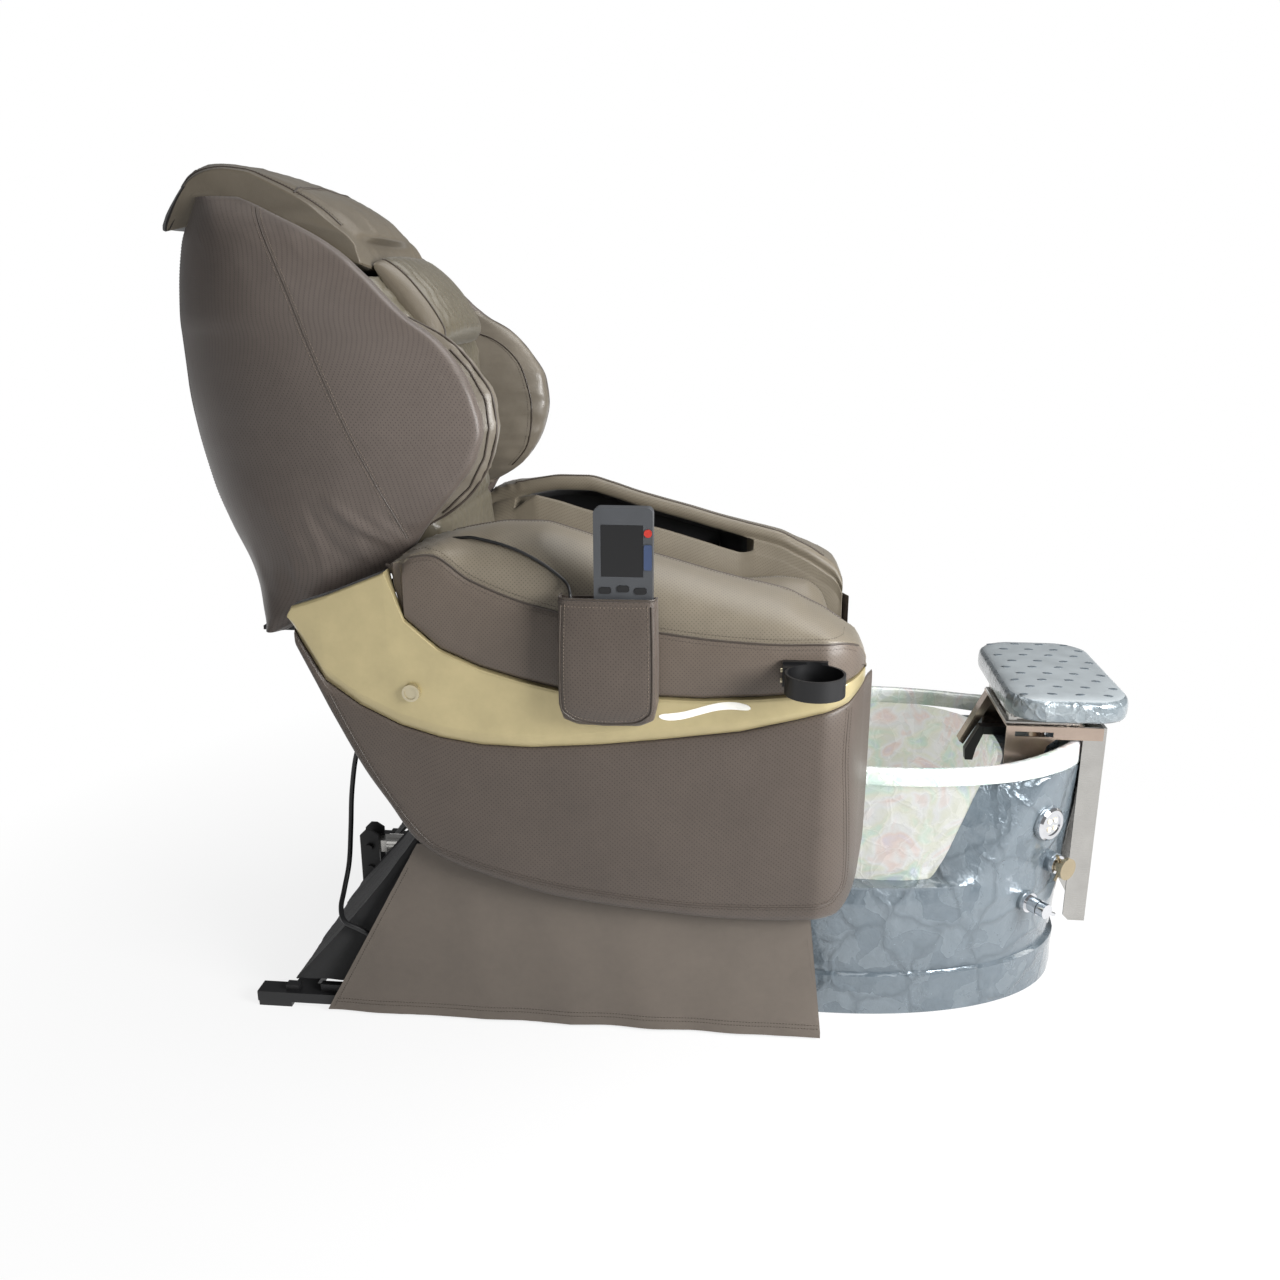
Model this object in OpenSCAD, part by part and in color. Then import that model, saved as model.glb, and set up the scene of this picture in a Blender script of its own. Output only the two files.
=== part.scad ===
// Pedicure spa chair: a reclining massage seat that slides on floor rails over a foot basin.
// Millimetres. +X is the front, +Y the chair's left, +Z up. The origin is on the floor under the
// middle cross member.

/* [Base] */
// Rear end of the floor rails, behind the origin
rail_back = 674; // [640:1:720]
// Front end of the floor rails
rail_front = 284; // [270:1:290]
// Distance of each rail's middle from the centre plane
rail_y = 312; // [308:1:314]
// Width of a floor rail
rail_w = 34; // [28:1:36]
// Height of a floor rail
rail_h = 19; // [14:1:20]
// Thickness of the foot pads
foot_h = 9; // [6:1:12]
// Height of the guide ridge on a rail
guide_h = 14; // [10:1:16]
// Width of the guide ridge
guide_w = 12; // [8:1:16]
// Sliding clearance of the runner blocks on the guides
run_gap = 0.4; // [0.2:0.1:0.6]

/* [Seat] */
// Height of the top of the seat pan
pan_top = 503; // [500:1:508]
// Thickness of the seat pan
pan_t = 3; // [2:0.5:4]
// Half width of the seat cushion
seat_half = 218; // [200:1:219]
// Height of the seat cushion's middle
seat_z = 644; // [620:1:660]
// Inner face of the arms
arm_in = 222; // [220:1:228]
// Depth of each forearm channel below the arm's crown
channel_deep = 110; // [80:1:120]

/* [Sides] */
// Outer face of the trims
trim_y = 376; // [374:1:380]
// Thickness of a trim
trim_t = 14; // [10:1:14]
// Inner face of the side panels
panel_in = 338; // [337:1:340]
// Thickness of the skirt cloth
skirt_t = 3; // [2:0.5:3.5]
// Gap between the skirts and the floor
skirt_gap = 5; // [3:1:10]
// Diameter of the bolt covers on the trims
bolt_d = 28; // [20:1:32]

/* [Back] */
// Height of the back's pivot
pivot_z = 500; // [498:1:502]
// Distance of the back's pivot behind the origin
pivot_back = 360; // [359:1:361]
// Radius of the pivot shaft
pivot_r = 12; // [10:0.5:12]
// Running clearance of shafts and rods, on the radius
fit = 0.06; // [0.03:0.01:0.09]
// Radius of the massage rollers
roller_r = 36; // [30:1:38]
// Radius of the massage rails
massage_rail_r = 8; // [6:0.5:9]
// Half width of the head pillow
pillow_half = 148; // [120:1:155]

/* [Basin] */
// Height of the basin's deck and of the bowl's edge
deck_z = 425; // [424:1:426]
// Height of the bowl's floor
bowl_floor = 158; // [156:1:175]
// Wall of the bowl
bowl_wall = 8; // [6:0.5:10]
// Height of the rim band
rim_h = 30; // [22:1:34]
// Width of the rim band
rim_w = 20; // [18:1:24]
// Plate thickness of the footrest bracket
plate_t = 3; // [2:0.5:4]
// Height of the bracket's top
bracket_z = 497; // [495:1:499]
// Thickness of the footrest pad
pad_t = 43; // [30:1:46]
// Half width of the footrest pad
pad_half = 180; // [170:1:190]
// Radius of the footrest's guide posts
post_r = 9; // [7:0.5:10]

/* [Controls] */
// Diameter of the keypad's bezel
keypad_d = 61; // [54:1:64]
// Diameter of a keypad key
key_d = 9; // [7:0.5:10]
// Diameter of the valve knob's disc
knob_d = 40; // [34:1:44]
// Clearance round keys and buttons, on the radius
key_gap = 0.25; // [0.15:0.05:0.4]

/* [Accessories] */
// Bore of the cup holder
cup_bore = 83; // [76:1:86]
// Height of the cup holder's ring
cup_h = 32; // [26:1:36]
// Wall of the cup holder's ring
cup_wall = 3.5; // [2.5:0.5:5]
// Width of the remote
remote_w = 88; // [84:1:92]
// Thickness of the remote
remote_t = 23; // [18:1:24]
// Length of the remote
remote_l = 290; // [270:1:292]
// Diameter of the remote's cord
cord_d = 5; // [4:0.5:6]
// Diameter of the rear cable
cable_d = 9; // [7:0.5:9]

/* [Hidden] */
$fn = 48;

soft = 0.3;                       // clearance between upholstered pieces
rail_top = foot_h + rail_h;
guide_top = rail_top + guide_h;
wall_y = trim_y - trim_t;         // inner face of a trim

// ---------- shared shapes ----------

function total(v) = [for (p = v) 1] * v;
function middle(r) = total(r) / len(r);
function area_vector(r) = total([for (i = [0:len(r) - 1]) cross(r[i], r[(i + 1) % len(r)])]);
function turned(r) = [for (i = [len(r) - 1:-1:0]) r[i]];
function mix(a, b, t) = a + (b - a) * t;
function clamp01(t) = min(1, max(0, t));
function smooth(t) = let (c = clamp01(t)) c * c * (3 - 2 * c);
// Rings whose points lie a little unevenly, as on a padded cover; a is the most that one moves.
// The first and last rings stay flat, so that the ends close cleanly; each lies across the axis given,
// tilted by about a part in 5000.
end_tilt = 1 / 800;
function uneven(rings, a, axis) = [for (i = [0:len(rings) - 1])
  let (flat = i == 0 || i == len(rings) - 1)
  [for (p = rings[i])
    let (s = [sin(p.y * 97 + p.z * 61), sin(p.z * 83 + p.x * 53), sin(p.x * 71 + p.y * 89)],
      t = (p[(axis + 1) % 3] + 1.3 * p[(axis + 2) % 3]) * end_tilt)
    p + a * [for (k = [0:2]) flat && k == axis ? t : s[k]]]];

// Closed skin through rings of equal length; loop = true joins the last ring to the first.
module skin(rings, loop = false) {
  c0 = middle(rings[0]);
  ahead = area_vector([for (p = rings[0]) p - c0]) * (middle(rings[1]) - c0) > 0;
  set = ahead ? rings : [for (r = rings) turned(r)];
  n = len(set[0]);
  m = len(set);
  polyhedron(
    points = [for (r = set) each r],
    faces = concat(
      loop ? [] : [[for (i = [0:n - 1]) i], [for (i = [n - 1:-1:0]) (m - 1) * n + i]],
      [for (k = [0:m - (loop ? 1 : 2)]) for (i = [0:n - 1])
        let (a = k * n, b = ((k + 1) % m) * n, j = (i + 1) % n)
        each [[a + i, b + i, b + j], [a + i, b + j, a + j]]]));
}

// Both sides of the chair: the right piece and its mirror image.
module both_sides() {
  children();
  mirror([0, 1, 0]) children();
}

// Rounded rectangle, corner to corner
module rounded(a, b, r) {
  translate(a + [r, 0]) square([b.x - a.x - 2 * r, b.y - a.y]);
  translate(a + [0, r]) square([b.x - a.x, b.y - a.y - 2 * r]);
  for (x = [a.x + r, b.x - r], y = [a.y + r, b.y - r]) translate([x, y]) circle(r);
}

// Flat bar from p to q with round ends
module bar(p, q, w) {
  d = q - p;
  translate(p) rotate(atan2(d.y, d.x)) translate([0, -w / 2]) square([norm(d), w]);
  for (c = [p, q]) translate(c) circle(d = w + 0.6);
}

// Outline in X and Z, extruded from y0 to y1
module xz_plate(y0, y1) {
  translate([0, y1, 0]) rotate([90, 0, 0]) linear_extrude(y1 - y0) children();
}

module y_rod(x, z, y0, y1, r) {
  translate([x, y1, z]) rotate([90, 0, 0]) cylinder(r = r, h = y1 - y0);
}

module x_rod(x0, x1, y, z, r) {
  translate([x0, y, z]) rotate([0, 90, 0]) cylinder(r = r, h = x1 - x0);
}

module box(lo, hi) {
  translate(lo) cube(hi - lo);
}

// Round tube swept along a route of points
function route_dir(p, i) = let (n = len(p) - 1, d = p[min(i + 1, n)] - p[max(i - 1, 0)]) d / norm(d);
function curve(p, steps) = [for (i = [0:len(p) - 2]) for (s = [0:steps - 1])
  let (a = p[max(i - 1, 0)], b = p[i], c = p[i + 1], d = p[min(i + 2, len(p) - 1)], t = s / steps)
  0.5 * (2 * b + (c - a) * t + (2 * a - 5 * b + 4 * c - d) * t * t
    + (3 * b - a - 3 * c + d) * t * t * t), p[len(p) - 1]];
module tube(route, d, sides, side_dir) {
  skin([for (i = [0:len(route) - 1])
    let (f = route_dir(route, i), u0 = cross(f, side_dir), u = u0 / norm(u0), v = cross(f, u))
    [for (k = [0:sides - 1])
      route[i] + d / 2 * (cos(360 * k / sides) * u + sin(360 * k / sides) * v)]]);
}

// ---------- base ----------

clevis_x = [-615, -575];
pin_x = -595;                     // clevis pin of the slide actuator
slide_y = 100;
slide_z = 112;

module floor_rails() color("#1b1b1d") both_sides() {
  box([-rail_back, -rail_y - rail_w / 2, foot_h], [rail_front, -rail_y + rail_w / 2, rail_top]);
  box([-560, -rail_y - guide_w / 2, rail_top], [rail_front, -rail_y + guide_w / 2, guide_top]);
  box([-rail_back + 50, -rail_y - 8, rail_top], [-rail_back + 74, -rail_y + 8, rail_top + 10]);
}

foot_l = 60;
module rail_feet() color("#141415") {
  both_sides() for (x = [-rail_back + 2, -foot_l / 2, rail_front - foot_l - 2])
    box([x, -rail_y - rail_w / 2, 0], [x + foot_l, -rail_y + rail_w / 2, foot_h]);
  cylinder(d = 36, h = foot_h);
}

member_w = 40;
module cross_members() color("#1b1b1d") for (x = [clevis_x[0], -member_w / 2, rail_front - member_w])
  box([x, -rail_y + rail_w / 2, foot_h], [x + member_w, rail_y - rail_w / 2, rail_top]);

module actuator_clevis() color("#19191a") {
  box([clevis_x[0], slide_y - 40, rail_top], [clevis_x[1], slide_y + 40, rail_top + 6]);
  for (y = [slide_y - 22, slide_y + 16]) difference() {
    xz_plate(y, y + 6) polygon([[-615, rail_top + 6], [-575, rail_top + 6], [-575, 140], [-590, 150],
      [-603, 150], [-615, 138]]);
    y_rod(pin_x, slide_z, y - 1, y + 7, 8 + fit);
  }
  y_rod(pin_x, slide_z, slide_y - 30, slide_y + 30, 8);
  for (s = [-1, 1]) y_rod(pin_x, 62, slide_y + s * 24.5 - 2.5, slide_y + s * 24.5 + 2.5, 9);
}

tube_r = 20;
rod_r = 9;
module slide_actuator() color("#8f9194") {
  difference() {
    union() {
      x_rod(-560, -330, slide_y, slide_z, tube_r);
      box([-606, slide_y - 15.7, slide_z - 13], [-560, slide_y + 15.7, slide_z + 13]);
    }
    x_rod(-550, -329, slide_y, slide_z, rod_r + fit);
    y_rod(pin_x, slide_z, slide_y - 16, slide_y + 16, 8 + fit);
  }
}

// ---------- basin ----------

basin_back = rail_front + soft;
arc_n = 26;

// Plan outline: straight back, then a superellipse round the front
function front_arc(w, x0, xf, n) = [for (i = [0:arc_n])
  let (a = -90 + 180 * i / arc_n, c = abs(cos(a)), s = abs(sin(a)))
  [x0 + (xf - x0) * pow(c, 2 / n), w * sign(a) * pow(s, 2 / n)]];
function plan_ring(xb, w, x0, xf, n, z) =
  [for (p = concat([[xb, -0.985 * w]], front_arc(w, x0, xf, n), [[xb, 0.985 * w]])) [p.x, p.y, z]];

// Outer outline of the basin at a height
function basin_w(z) = lookup(z, [[0, 255], [75, 255], [79, 248], [150, 252], [215, 250], [236, 238],
  [330, 227], [425, 222]]);
function basin_xf(z) = lookup(z, [[0, 776], [75, 776], [79, 768], [150, 774], [215, 780], [330, 792],
  [425, 800]]);
function basin_x0(z) = lookup(z, [[0, 330], [150, 335], [236, 365], [425, 430]]);
function outer_ring(z) = plan_ring(basin_back, basin_w(z), basin_x0(z), basin_xf(z), 2.15, z);

// The body's edge rises from the window's sill to the deck
sill_z = 240;
function edge_z(x) = mix(sill_z, deck_z, smooth((x - 585) / 105));
// Cavity that the bowl stands in
cavity_back = 300;
function cavity_w(z) = lookup(z, [[150, 168], [172, 190], [220, 204], [425, 216]]);
function cavity_xf(z) = lookup(z, [[150, 560], [172, 596], [220, 620], [425, 652]]);
function cavity_ring(z, inset) = plan_ring(cavity_back + inset, cavity_w(z) - inset, 420,
  cavity_xf(z) - inset, 2.4, z);
body_floor = 150;

function lifted(ring, top) = [for (p = ring) [p.x, p.y, top(p.x)]];
function band(t) = [for (i = [0:len(outer_ring(sill_z)) - 1])
  let (x = outer_ring(sill_z)[i].x, z = mix(sill_z - 4, edge_z(x), t)) outer_ring(z)[i]];
function cavity_edge() = [for (i = [0:len(cavity_ring(sill_z, 0)) - 1])
  let (x = cavity_ring(deck_z, 0)[i].x, s = smooth((x - 520) / 90), z = mix(sill_z, deck_z, s))
  [cavity_ring(z, 0)[i].x, cavity_ring(z, 0)[i].y, z]];

// Places children on the basin's side: local +X points out of the wall
control_az = -53;
module on_wall(p) translate(p) rotate([0, 0, control_az]) rotate([0, 90, 0]) children();
keypad_p = [717, -147, 334];
valve_p = [740, -134, 250];
diverter_p = [689, -171, 192];

module basin_body() color("#7f8f9c") {
  skin(concat(
    [for (z = [0, 75, 79, 150, 215]) outer_ring(z)],
    [for (t = [0, 0.35, 0.7, 1]) band(t)],
    [cavity_edge()],
    [for (z = [220, 172, body_floor]) cavity_ring(z, 0)]));
  on_wall(keypad_p) translate([0, 0, -22]) cylinder(r = keypad_d / 2 + 2, h = 22);
  on_wall(valve_p) translate([0, 0, -24]) cylinder(r = 19, h = 24);
  on_wall(diverter_p) translate([0, 0, -24]) cylinder(r = 20, h = 24);
}

bowl_gap = 0.5;
bowl_levels = [172, 220, 425];
module basin_bowl() color("#c9d3cf") skin(concat(
  [for (z = [body_floor]) [for (p = cavity_ring(z, bowl_gap)) p + [0, 0, bowl_gap]]],
  [for (z = bowl_levels) cavity_ring(z, bowl_gap)],
  [for (z = turned(bowl_levels)) cavity_ring(z, bowl_gap + bowl_wall)],
  [[for (p = cavity_ring(body_floor, bowl_gap + bowl_wall)) [p.x, p.y, bowl_floor]]]));

// Rim band: along the sides on the bowl's edge, round the front on the deck's edge
function rim_path(inset) = let (r = plan_ring(cavity_back - 6, 224, 430, 804, 2.05, 0))
  [for (i = [0:len(r) - 1]) let (a = r[max(i - 1, 0)], b = r[min(i + 1, len(r) - 1)],
    d = i == 0 || i == len(r) - 1 ? [1, sign(r[i].y), 0] : let (t = (b - a) / norm(b - a)) [-t.y, t.x, 0])
    r[i] + (i == 0 || i == len(r) - 1 ? [1, -sign(r[i].y), 0] : d) * inset];
function rim_rise(x) = 15 * smooth((x - 600) / 200);
module basin_rim() color("#aeb9bd") {
  z0 = deck_z + soft;
  outer = rim_path(0);
  inner = rim_path(rim_w);
  m = len(outer);
  skin([for (i = [0:m - 1]) let (o = outer[i], q = inner[i], h = rim_h + rim_rise(o.x),
    at = function (s, z) [mix(o.x, q.x, s), mix(o.y, q.y, s), z0 + z])
    [at(0.12, 0), at(0, 5), at(0, h - 6), at(0.2, h), at(0.8, h), at(1, h - 6), at(1, 5), at(0.88, 0)]],
    loop = true);
}

module deck_cover() color("#8fa0a8") {
  h = bracket_z - plate_t - deck_z - 10;
  skin([for (t = [0, 0.25, 0.5, 0.72, 0.88, 1]) [for (k = [0:23])
    let (a = 15 * k, f = sqrt(1 - 0.93 * t * t), z = deck_z + soft + h * t)
    [712 + 46 * f * cos(a), 48 * f * sin(a), z]]]);
}

channel_y = 100;                  // outer face of the front channel's flanges
module front_panel() color("#9fb0b6") {
  box([806, -channel_y, 120], [812, channel_y, bracket_z]);
  for (s = [-1, 1]) xz_plate(s > 0 ? channel_y - plate_t : -channel_y, s > 0 ? channel_y : plate_t - channel_y)
    polygon([[773, 130], [783, 120], [806, 120], [806, bracket_z], [773, bracket_z]]);
}

post_x = 700;
post_y = 72;
module footrest_bracket() color("#c7a493") {
  y1 = channel_y + soft;
  difference() {
    for (s = [0, 1]) mirror([0, s, 0]) xz_plate(-y1 - plate_t, -y1)
      difference() {
        polygon([[640, deck_z + soft], [700, deck_z + soft], [712, 462], [726, 474], [806, 474],
          [806, bracket_z], [640, bracket_z]]);
        translate([655, 478]) square([66, 9]);
      }
  }
  difference() {
    box([640, -y1, bracket_z - plate_t], [772.7, y1, bracket_z]);
    for (s = [-1, 1]) translate([post_x, s * post_y, 0]) cylinder(r = post_r + fit, h = 600);
  }
  for (s = [-1, 1]) difference() {
    translate([post_x, s * post_y, 470]) cylinder(r = post_r + 5, h = bracket_z - plate_t - 470);
    translate([post_x, s * post_y, 460]) cylinder(r = post_r + fit, h = 100);
  }
  xz_plate(72, 100) polygon([[652, bracket_z - 1], [641, bracket_z - 1], [594, 398], [602, 392], [652, 482]]);
}

lift_gap = 1;                     // the slider's plate over the bracket's top
slider_z = bracket_z + lift_gap;
hinge_x = 652;
hinge_z = slider_z + 13;
module footrest_slider() color("#a6a8aa") {
  for (s = [-1, 1]) translate([post_x, s * post_y, 434]) cylinder(r = post_r, h = slider_z + 2 - 434);
  difference() {
    union() {
      box([640, -95, slider_z], [766, 95, slider_z + 4]);
      for (y = [-90, 66]) {
        y_rod(hinge_x, hinge_z, y, y + 24, 7);
        box([hinge_x - 7, y, slider_z + 4], [hinge_x + 7, y + 24, hinge_z]);
      }
    }
    y_rod(hinge_x, hinge_z, -96, 96, 3 + fit);
  }
}

pad_z = 531;
module footrest_plate() color("#b9b2ab") {
  y_rod(hinge_x, hinge_z, -94, 94, 3);
  difference() {
    union() {
      box([640, -150, pad_z - plate_t], [815, 150, pad_z]);
      box([hinge_x - 7, -65.5, hinge_z], [hinge_x + 7, 65.5, pad_z - plate_t]);
      y_rod(hinge_x, hinge_z, -65.5, 65.5, 7);
    }
  }
  for (s = [-1, 1]) box([752, s * 60 - 8, slider_z + 4 + soft], [764, s * 60 + 8, pad_z - plate_t]);
}

function pad_outline(inset, z) = let (r = 62, x0 = 627 + inset, x1 = 833 - inset, w = pad_half - inset)
  [for (q = [0:3]) for (k = [0:7]) let (a = q * 90 + k * 90 / 7, rr = r - inset * 0.7,
    cx = (q == 0 || q == 3) ? x1 - rr : x0 + rr, cy = q < 2 ? w - rr : rr - w)
    [cx + rr * cos(a), cy + rr * sin(a), z]];
module footrest_pad() color("#6d7a82") {
  z0 = pad_z + soft;
  skin([pad_outline(6, z0), pad_outline(1, z0 + 6), pad_outline(0, z0 + pad_t * 0.45),
    pad_outline(3, z0 + pad_t * 0.8), pad_outline(11, z0 + pad_t * 0.95), pad_outline(26, z0 + pad_t)]);
}

// ---------- basin controls and plumbing ----------

key_step = 7.5;
keypad_face = 7;
key_spots = [[-1, -1], [-1, 1], [1, -1], [1, 1]];
module keypad_bezel() color("#c9ccd0") on_wall(keypad_p) translate([0, 0, soft]) difference() {
  union() {
    cylinder(r = keypad_d / 2, h = keypad_face - 2);
    translate([0, 0, keypad_face - 2]) cylinder(r1 = keypad_d / 2, r2 = keypad_d / 2 - 4, h = 4);
  }
  translate([0, 0, keypad_face]) cylinder(r = 20, h = 5);
  for (k = key_spots) translate([k.x * key_step, k.y * key_step, 2]) cylinder(d = key_d + 2 * key_gap, h = 9);
}
module keypad_key(k) color("#eceef0") on_wall(keypad_p)
  translate([k.x * key_step, k.y * key_step, 4]) cylinder(d = key_d, h = keypad_face - 2.2);

stem_r = 6;
module valve_bodies() color("#d3d6d9") {
  on_wall(valve_p) translate([0, 0, soft]) {
    cylinder(r = 17, h = 6);
    cylinder(r = stem_r, h = 24);
  }
  on_wall(diverter_p) translate([0, 0, soft]) {
    cylinder(r = 18, h = 5);
    cylinder(r = 14, h = 26);
    cylinder(r = stem_r, h = 38);
  }
}
module valve_knob() color("#b39a78") on_wall(valve_p) translate([0, 0, soft]) difference() {
  union() {
    translate([0, 0, 7]) cylinder(r = 12, h = 13);
    translate([0, 0, 20]) cylinder(d = knob_d, h = 7);
    for (a = [90, 210, 330]) rotate(a) translate([8, 0, 12]) rotate([0, 90, 0]) cylinder(r = 3, h = 20);
  }
  translate([0, 0, 1]) cylinder(r = stem_r + fit, h = 24);
}
module diverter_lever() color("#e3e5e8") on_wall(diverter_p) translate([0, 0, soft]) difference() {
  union() {
    translate([0, 0, 27]) cylinder(r = 13, h = 15);
    translate([0, 0, 34]) rotate([0, 90, 60]) cylinder(r = 3.5, h = 34);
  }
  translate([0, 0, 20]) cylinder(r = stem_r + fit, h = 19);
}

module spout() color("#232527") {
  box([632, 40, deck_z + soft], [683, 62, deck_z + 16]);
  xz_plate(42, 60) polygon([[641, deck_z + 16], [624, deck_z + 16], [600, 392], [602, 372], [616, 372], [621, 396],
    [632, deck_z + soft]]);
}

jet_p = [500, 0];
module jet_housing() color("#9aa1a5") translate([jet_p.x, jet_p.y, bowl_floor + soft]) difference() {
  cylinder(r = 46, h = 30);
  translate([0, 0, 6]) cylinder(r = 38, h = 20);
  for (a = [0:30:330]) rotate(a) translate([24, 0, 20]) cylinder(r = 4.5, h = 20);
  translate([0, 0, -1]) cylinder(r = 4 + fit, h = 26.5);
}
module jet_rotor() color("#e6e8ea") translate([jet_p.x, jet_p.y, bowl_floor + soft]) {
  translate([0, 0, 1]) cylinder(r = 4, h = 23);
  translate([0, 0, 8]) cylinder(r = 14, h = 9);
  for (a = [0:60:300]) rotate(a) translate([10, -1.5, 9]) cube([22, 3, 7]);
}

inlet_r = 10.5;
drain_r = 20;
module pipe_fittings() color("#b8bbbe") {
  for (y = [-110, -50]) x_rod(basin_back - soft - 34, basin_back - soft, y, 84, inlet_r);
  x_rod(basin_back - soft - 55, basin_back - soft, 60, 74, drain_r);
}

// ---------- seat carriage ----------

beam = 30;
runner_z = guide_top + 1;
beam_top = 90;
rear_x = [-417, -392];
module runner(x) difference() {
  box([x, -rail_y - 17, rail_top + run_gap], [x + 80, -rail_y + 17, beam_top - beam + 2]);
  box([x - 1, -rail_y - guide_w / 2 - run_gap, rail_top - 1],
    [x + 81, -rail_y + guide_w / 2 + run_gap, guide_top + run_gap]);
}
module pivot_ear() difference() {
  union() {
    xz_plate(-278, -270) polygon([[-384, 462], [-338, 462], [-338, 512], [-346, 524], [-374, 524], [-384, 514]]);
    box([-384, -286, 470], [-338, -277, 500]);
  }
  y_rod(-pivot_back, pivot_z, -290, -260, pivot_r + fit);
}
tube_axis_z = 404;
module seat_frame() color("#26272a") {
  both_sides() {
    for (x = [-470, 90]) runner(x);
    box([-480, -rail_y - 17, beam_top - beam], [180, -rail_y + 17, beam_top]);
    for (x = [-354, 120]) box([x, -315, beam_top], [x + 24, -295, pan_top - pan_t - beam]);
    box([rear_x[0], -315, pan_top - pan_t - beam], [200, -285, pan_top - pan_t]);
    pivot_ear();
    box([38, -19, 390], [62, -13, 461]);
  }
  difference() {
    box([-330, -330, pan_top - pan_t], [255, 330, pan_top]);
    for (x = [-250, -50, 150]) translate([x, 0, 400]) cylinder(r = 12, h = 200);
  }
  for (x = [rear_x[0], 38, 176]) box([x, -286, 460], [x + 25, 286, 485]);
  box([-165, -rail_y + 16, 60], [-135, rail_y - 16, 84]);
  box([-165, slide_y - 16, 80], [-135, slide_y + 16, slide_z + 14]);
  x_rod(-540, -150, slide_y, slide_z, rod_r);
}

function bolster(x) = lookup(x, [[-300, 12], [0, 20], [200, 36], [290, 40], [325, 34], [345, 20]]);
function seat_top(x) = lookup(x, [[-300, -8], [-150, -4], [0, 0], [150, 6], [240, 8], [290, 2], [320, -12],
  [338, -38], [349, -80]]) + seat_z;
apron_z = 472;
module seat_cushion() color("#75695f") skin([for (x = [-298, -290, -250, -180, -90, 0, 90, 170, 230, 255.3, 258, 290,
    312, 328, 340, 349])
  let (t = seat_top(x) - (x < -292 ? 14 : 0), b = bolster(x), e = x < -292 ? 6 : 0,
    zb = x < 256 ? pan_top + soft : apron_z + max(0, x - 320) * 1.4,
    half = [[1, zb + 10], [1, t - 52], [0.985, t - 22 + b * 0.5], [0.93, t - 4 + b], [0.84, t + b],
      [0.72, t - 1 + b * 0.85], [0.6, t + b * 0.45], [0.5, t + 3 + b * 0.15], [0.465, t - 7],
      [0.43, t + 3], [0.25, t + 7]])
  concat([[x, -(seat_half - 8), zb]], [for (p = half) [x, -p[0] * (seat_half - e), p[1]]], [[x, 0, t + 9]],
    [for (i = [len(half) - 1:-1:0]) [x, half[i][0] * (seat_half - e), half[i][1]]],
    [[x, seat_half - 8, zb]])]);

// Stations along the chair that the trims, arms and side panels share
stations = [-349, -335, -323, -296, -250, -200, -150, -100, -50, 0, 60, 120, 165, 190, 215, 245, 275, 300,
  322, 340, 356, 368];

// Outer outline of the sides in plan: straight, then round the front corner
function side_y(x) = trim_y - lookup(x, [[-540, 5], [-470, 0], [300, 0], [322, 8], [340, 22], [356, 44],
  [368, 72], [376, 96], [384, 116]]);
function trim_top(x) = lookup(x, [[-538, 742], [-530, 755], [-473, 774], [-384, 810], [-377, 814], [-349, 737],
  [-296, 690], [-233, 662], [-170, 644], [-107, 630], [-44, 624], [111, 621], [204, 627], [264, 634],
  [320, 646], [368, 660]]);
function trim_low(x) = lookup(x, [[-538, 734], [-530, 718], [-521, 698], [-485, 634], [-431, 594], [-367, 562],
  [-303, 543], [-238, 533], [-157, 531], [-45, 540], [50, 552], [174, 570], [266, 594], [341, 616],
  [371, 639]]);
function split_z(x) = (trim_top(x) + trim_low(x)) / 2;
function panel_low(x) = lookup(x, [[-533, 691], [-505, 632], [-469, 553], [-432, 478], [-394, 417], [-355, 355],
  [-305, 319], [-221, 288], [-120, 261], [15, 244], [182, 234], [330, 243], [365, 263], [379, 291],
  [384, 330]]);

function trim_ring(x) = let (o = side_y(x), t = trim_top(x), b = trim_low(x), v = min(26, 0.35 * (t - b)),
  w = x <= -377 ? o - panel_in - 1 : trim_t)
  [[x, -(o - w), b + v], [x, -(o - w), t], [x, -(o - 4), t], [x, -o, t - 4], [x, -o, b + v],
    [x, -(o - 9), b]];
module trim() skin([for (x = concat([-538, -530, -515, -485, -440, -384, -377, -362], stations)) trim_ring(x)]);
module trim_right() color("#b5a578") trim();
module trim_left() color("#b5a578") mirror([0, 1, 0]) trim();

function panel_ring(x) = let (o = side_y(x), lo = panel_low(x), tl = trim_low(x), in = min(panel_in, o - 20),
  behind = x >= -349 && x <= 368, top = behind ? split_z(x) - soft : tl - 1, tuck = o - trim_t - 1, h = tl - lo,
  near = x > -365 && x <= 368)
  [[x, -in, lo + 0.06 * h], [x, -in, top], [x, -(near ? tuck : o - 12), top],
    [x, -(near ? tuck : o - 10), behind ? tl - 1.5 : tl - 3], [x, -(o - 8), tl - 6],
    [x, -(o - 5), mix(tl, lo, 0.35)], [x, -(o - 5), mix(tl, lo, 0.62)], [x, -(o - 8), mix(tl, lo, 0.86)],
    [x, -(o - 13), mix(tl, lo, 0.97)], [x, -(in + 4), lo]];
module side_panel() skin([for (x = concat([-530, -515, -485, -440, -394, -362, -353], stations, [376, 384]))
  panel_ring(x)]);
module side_panel_right() color("#5d534b") side_panel();
module side_panel_left() color("#5d534b") mirror([0, 1, 0]) side_panel();

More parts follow.
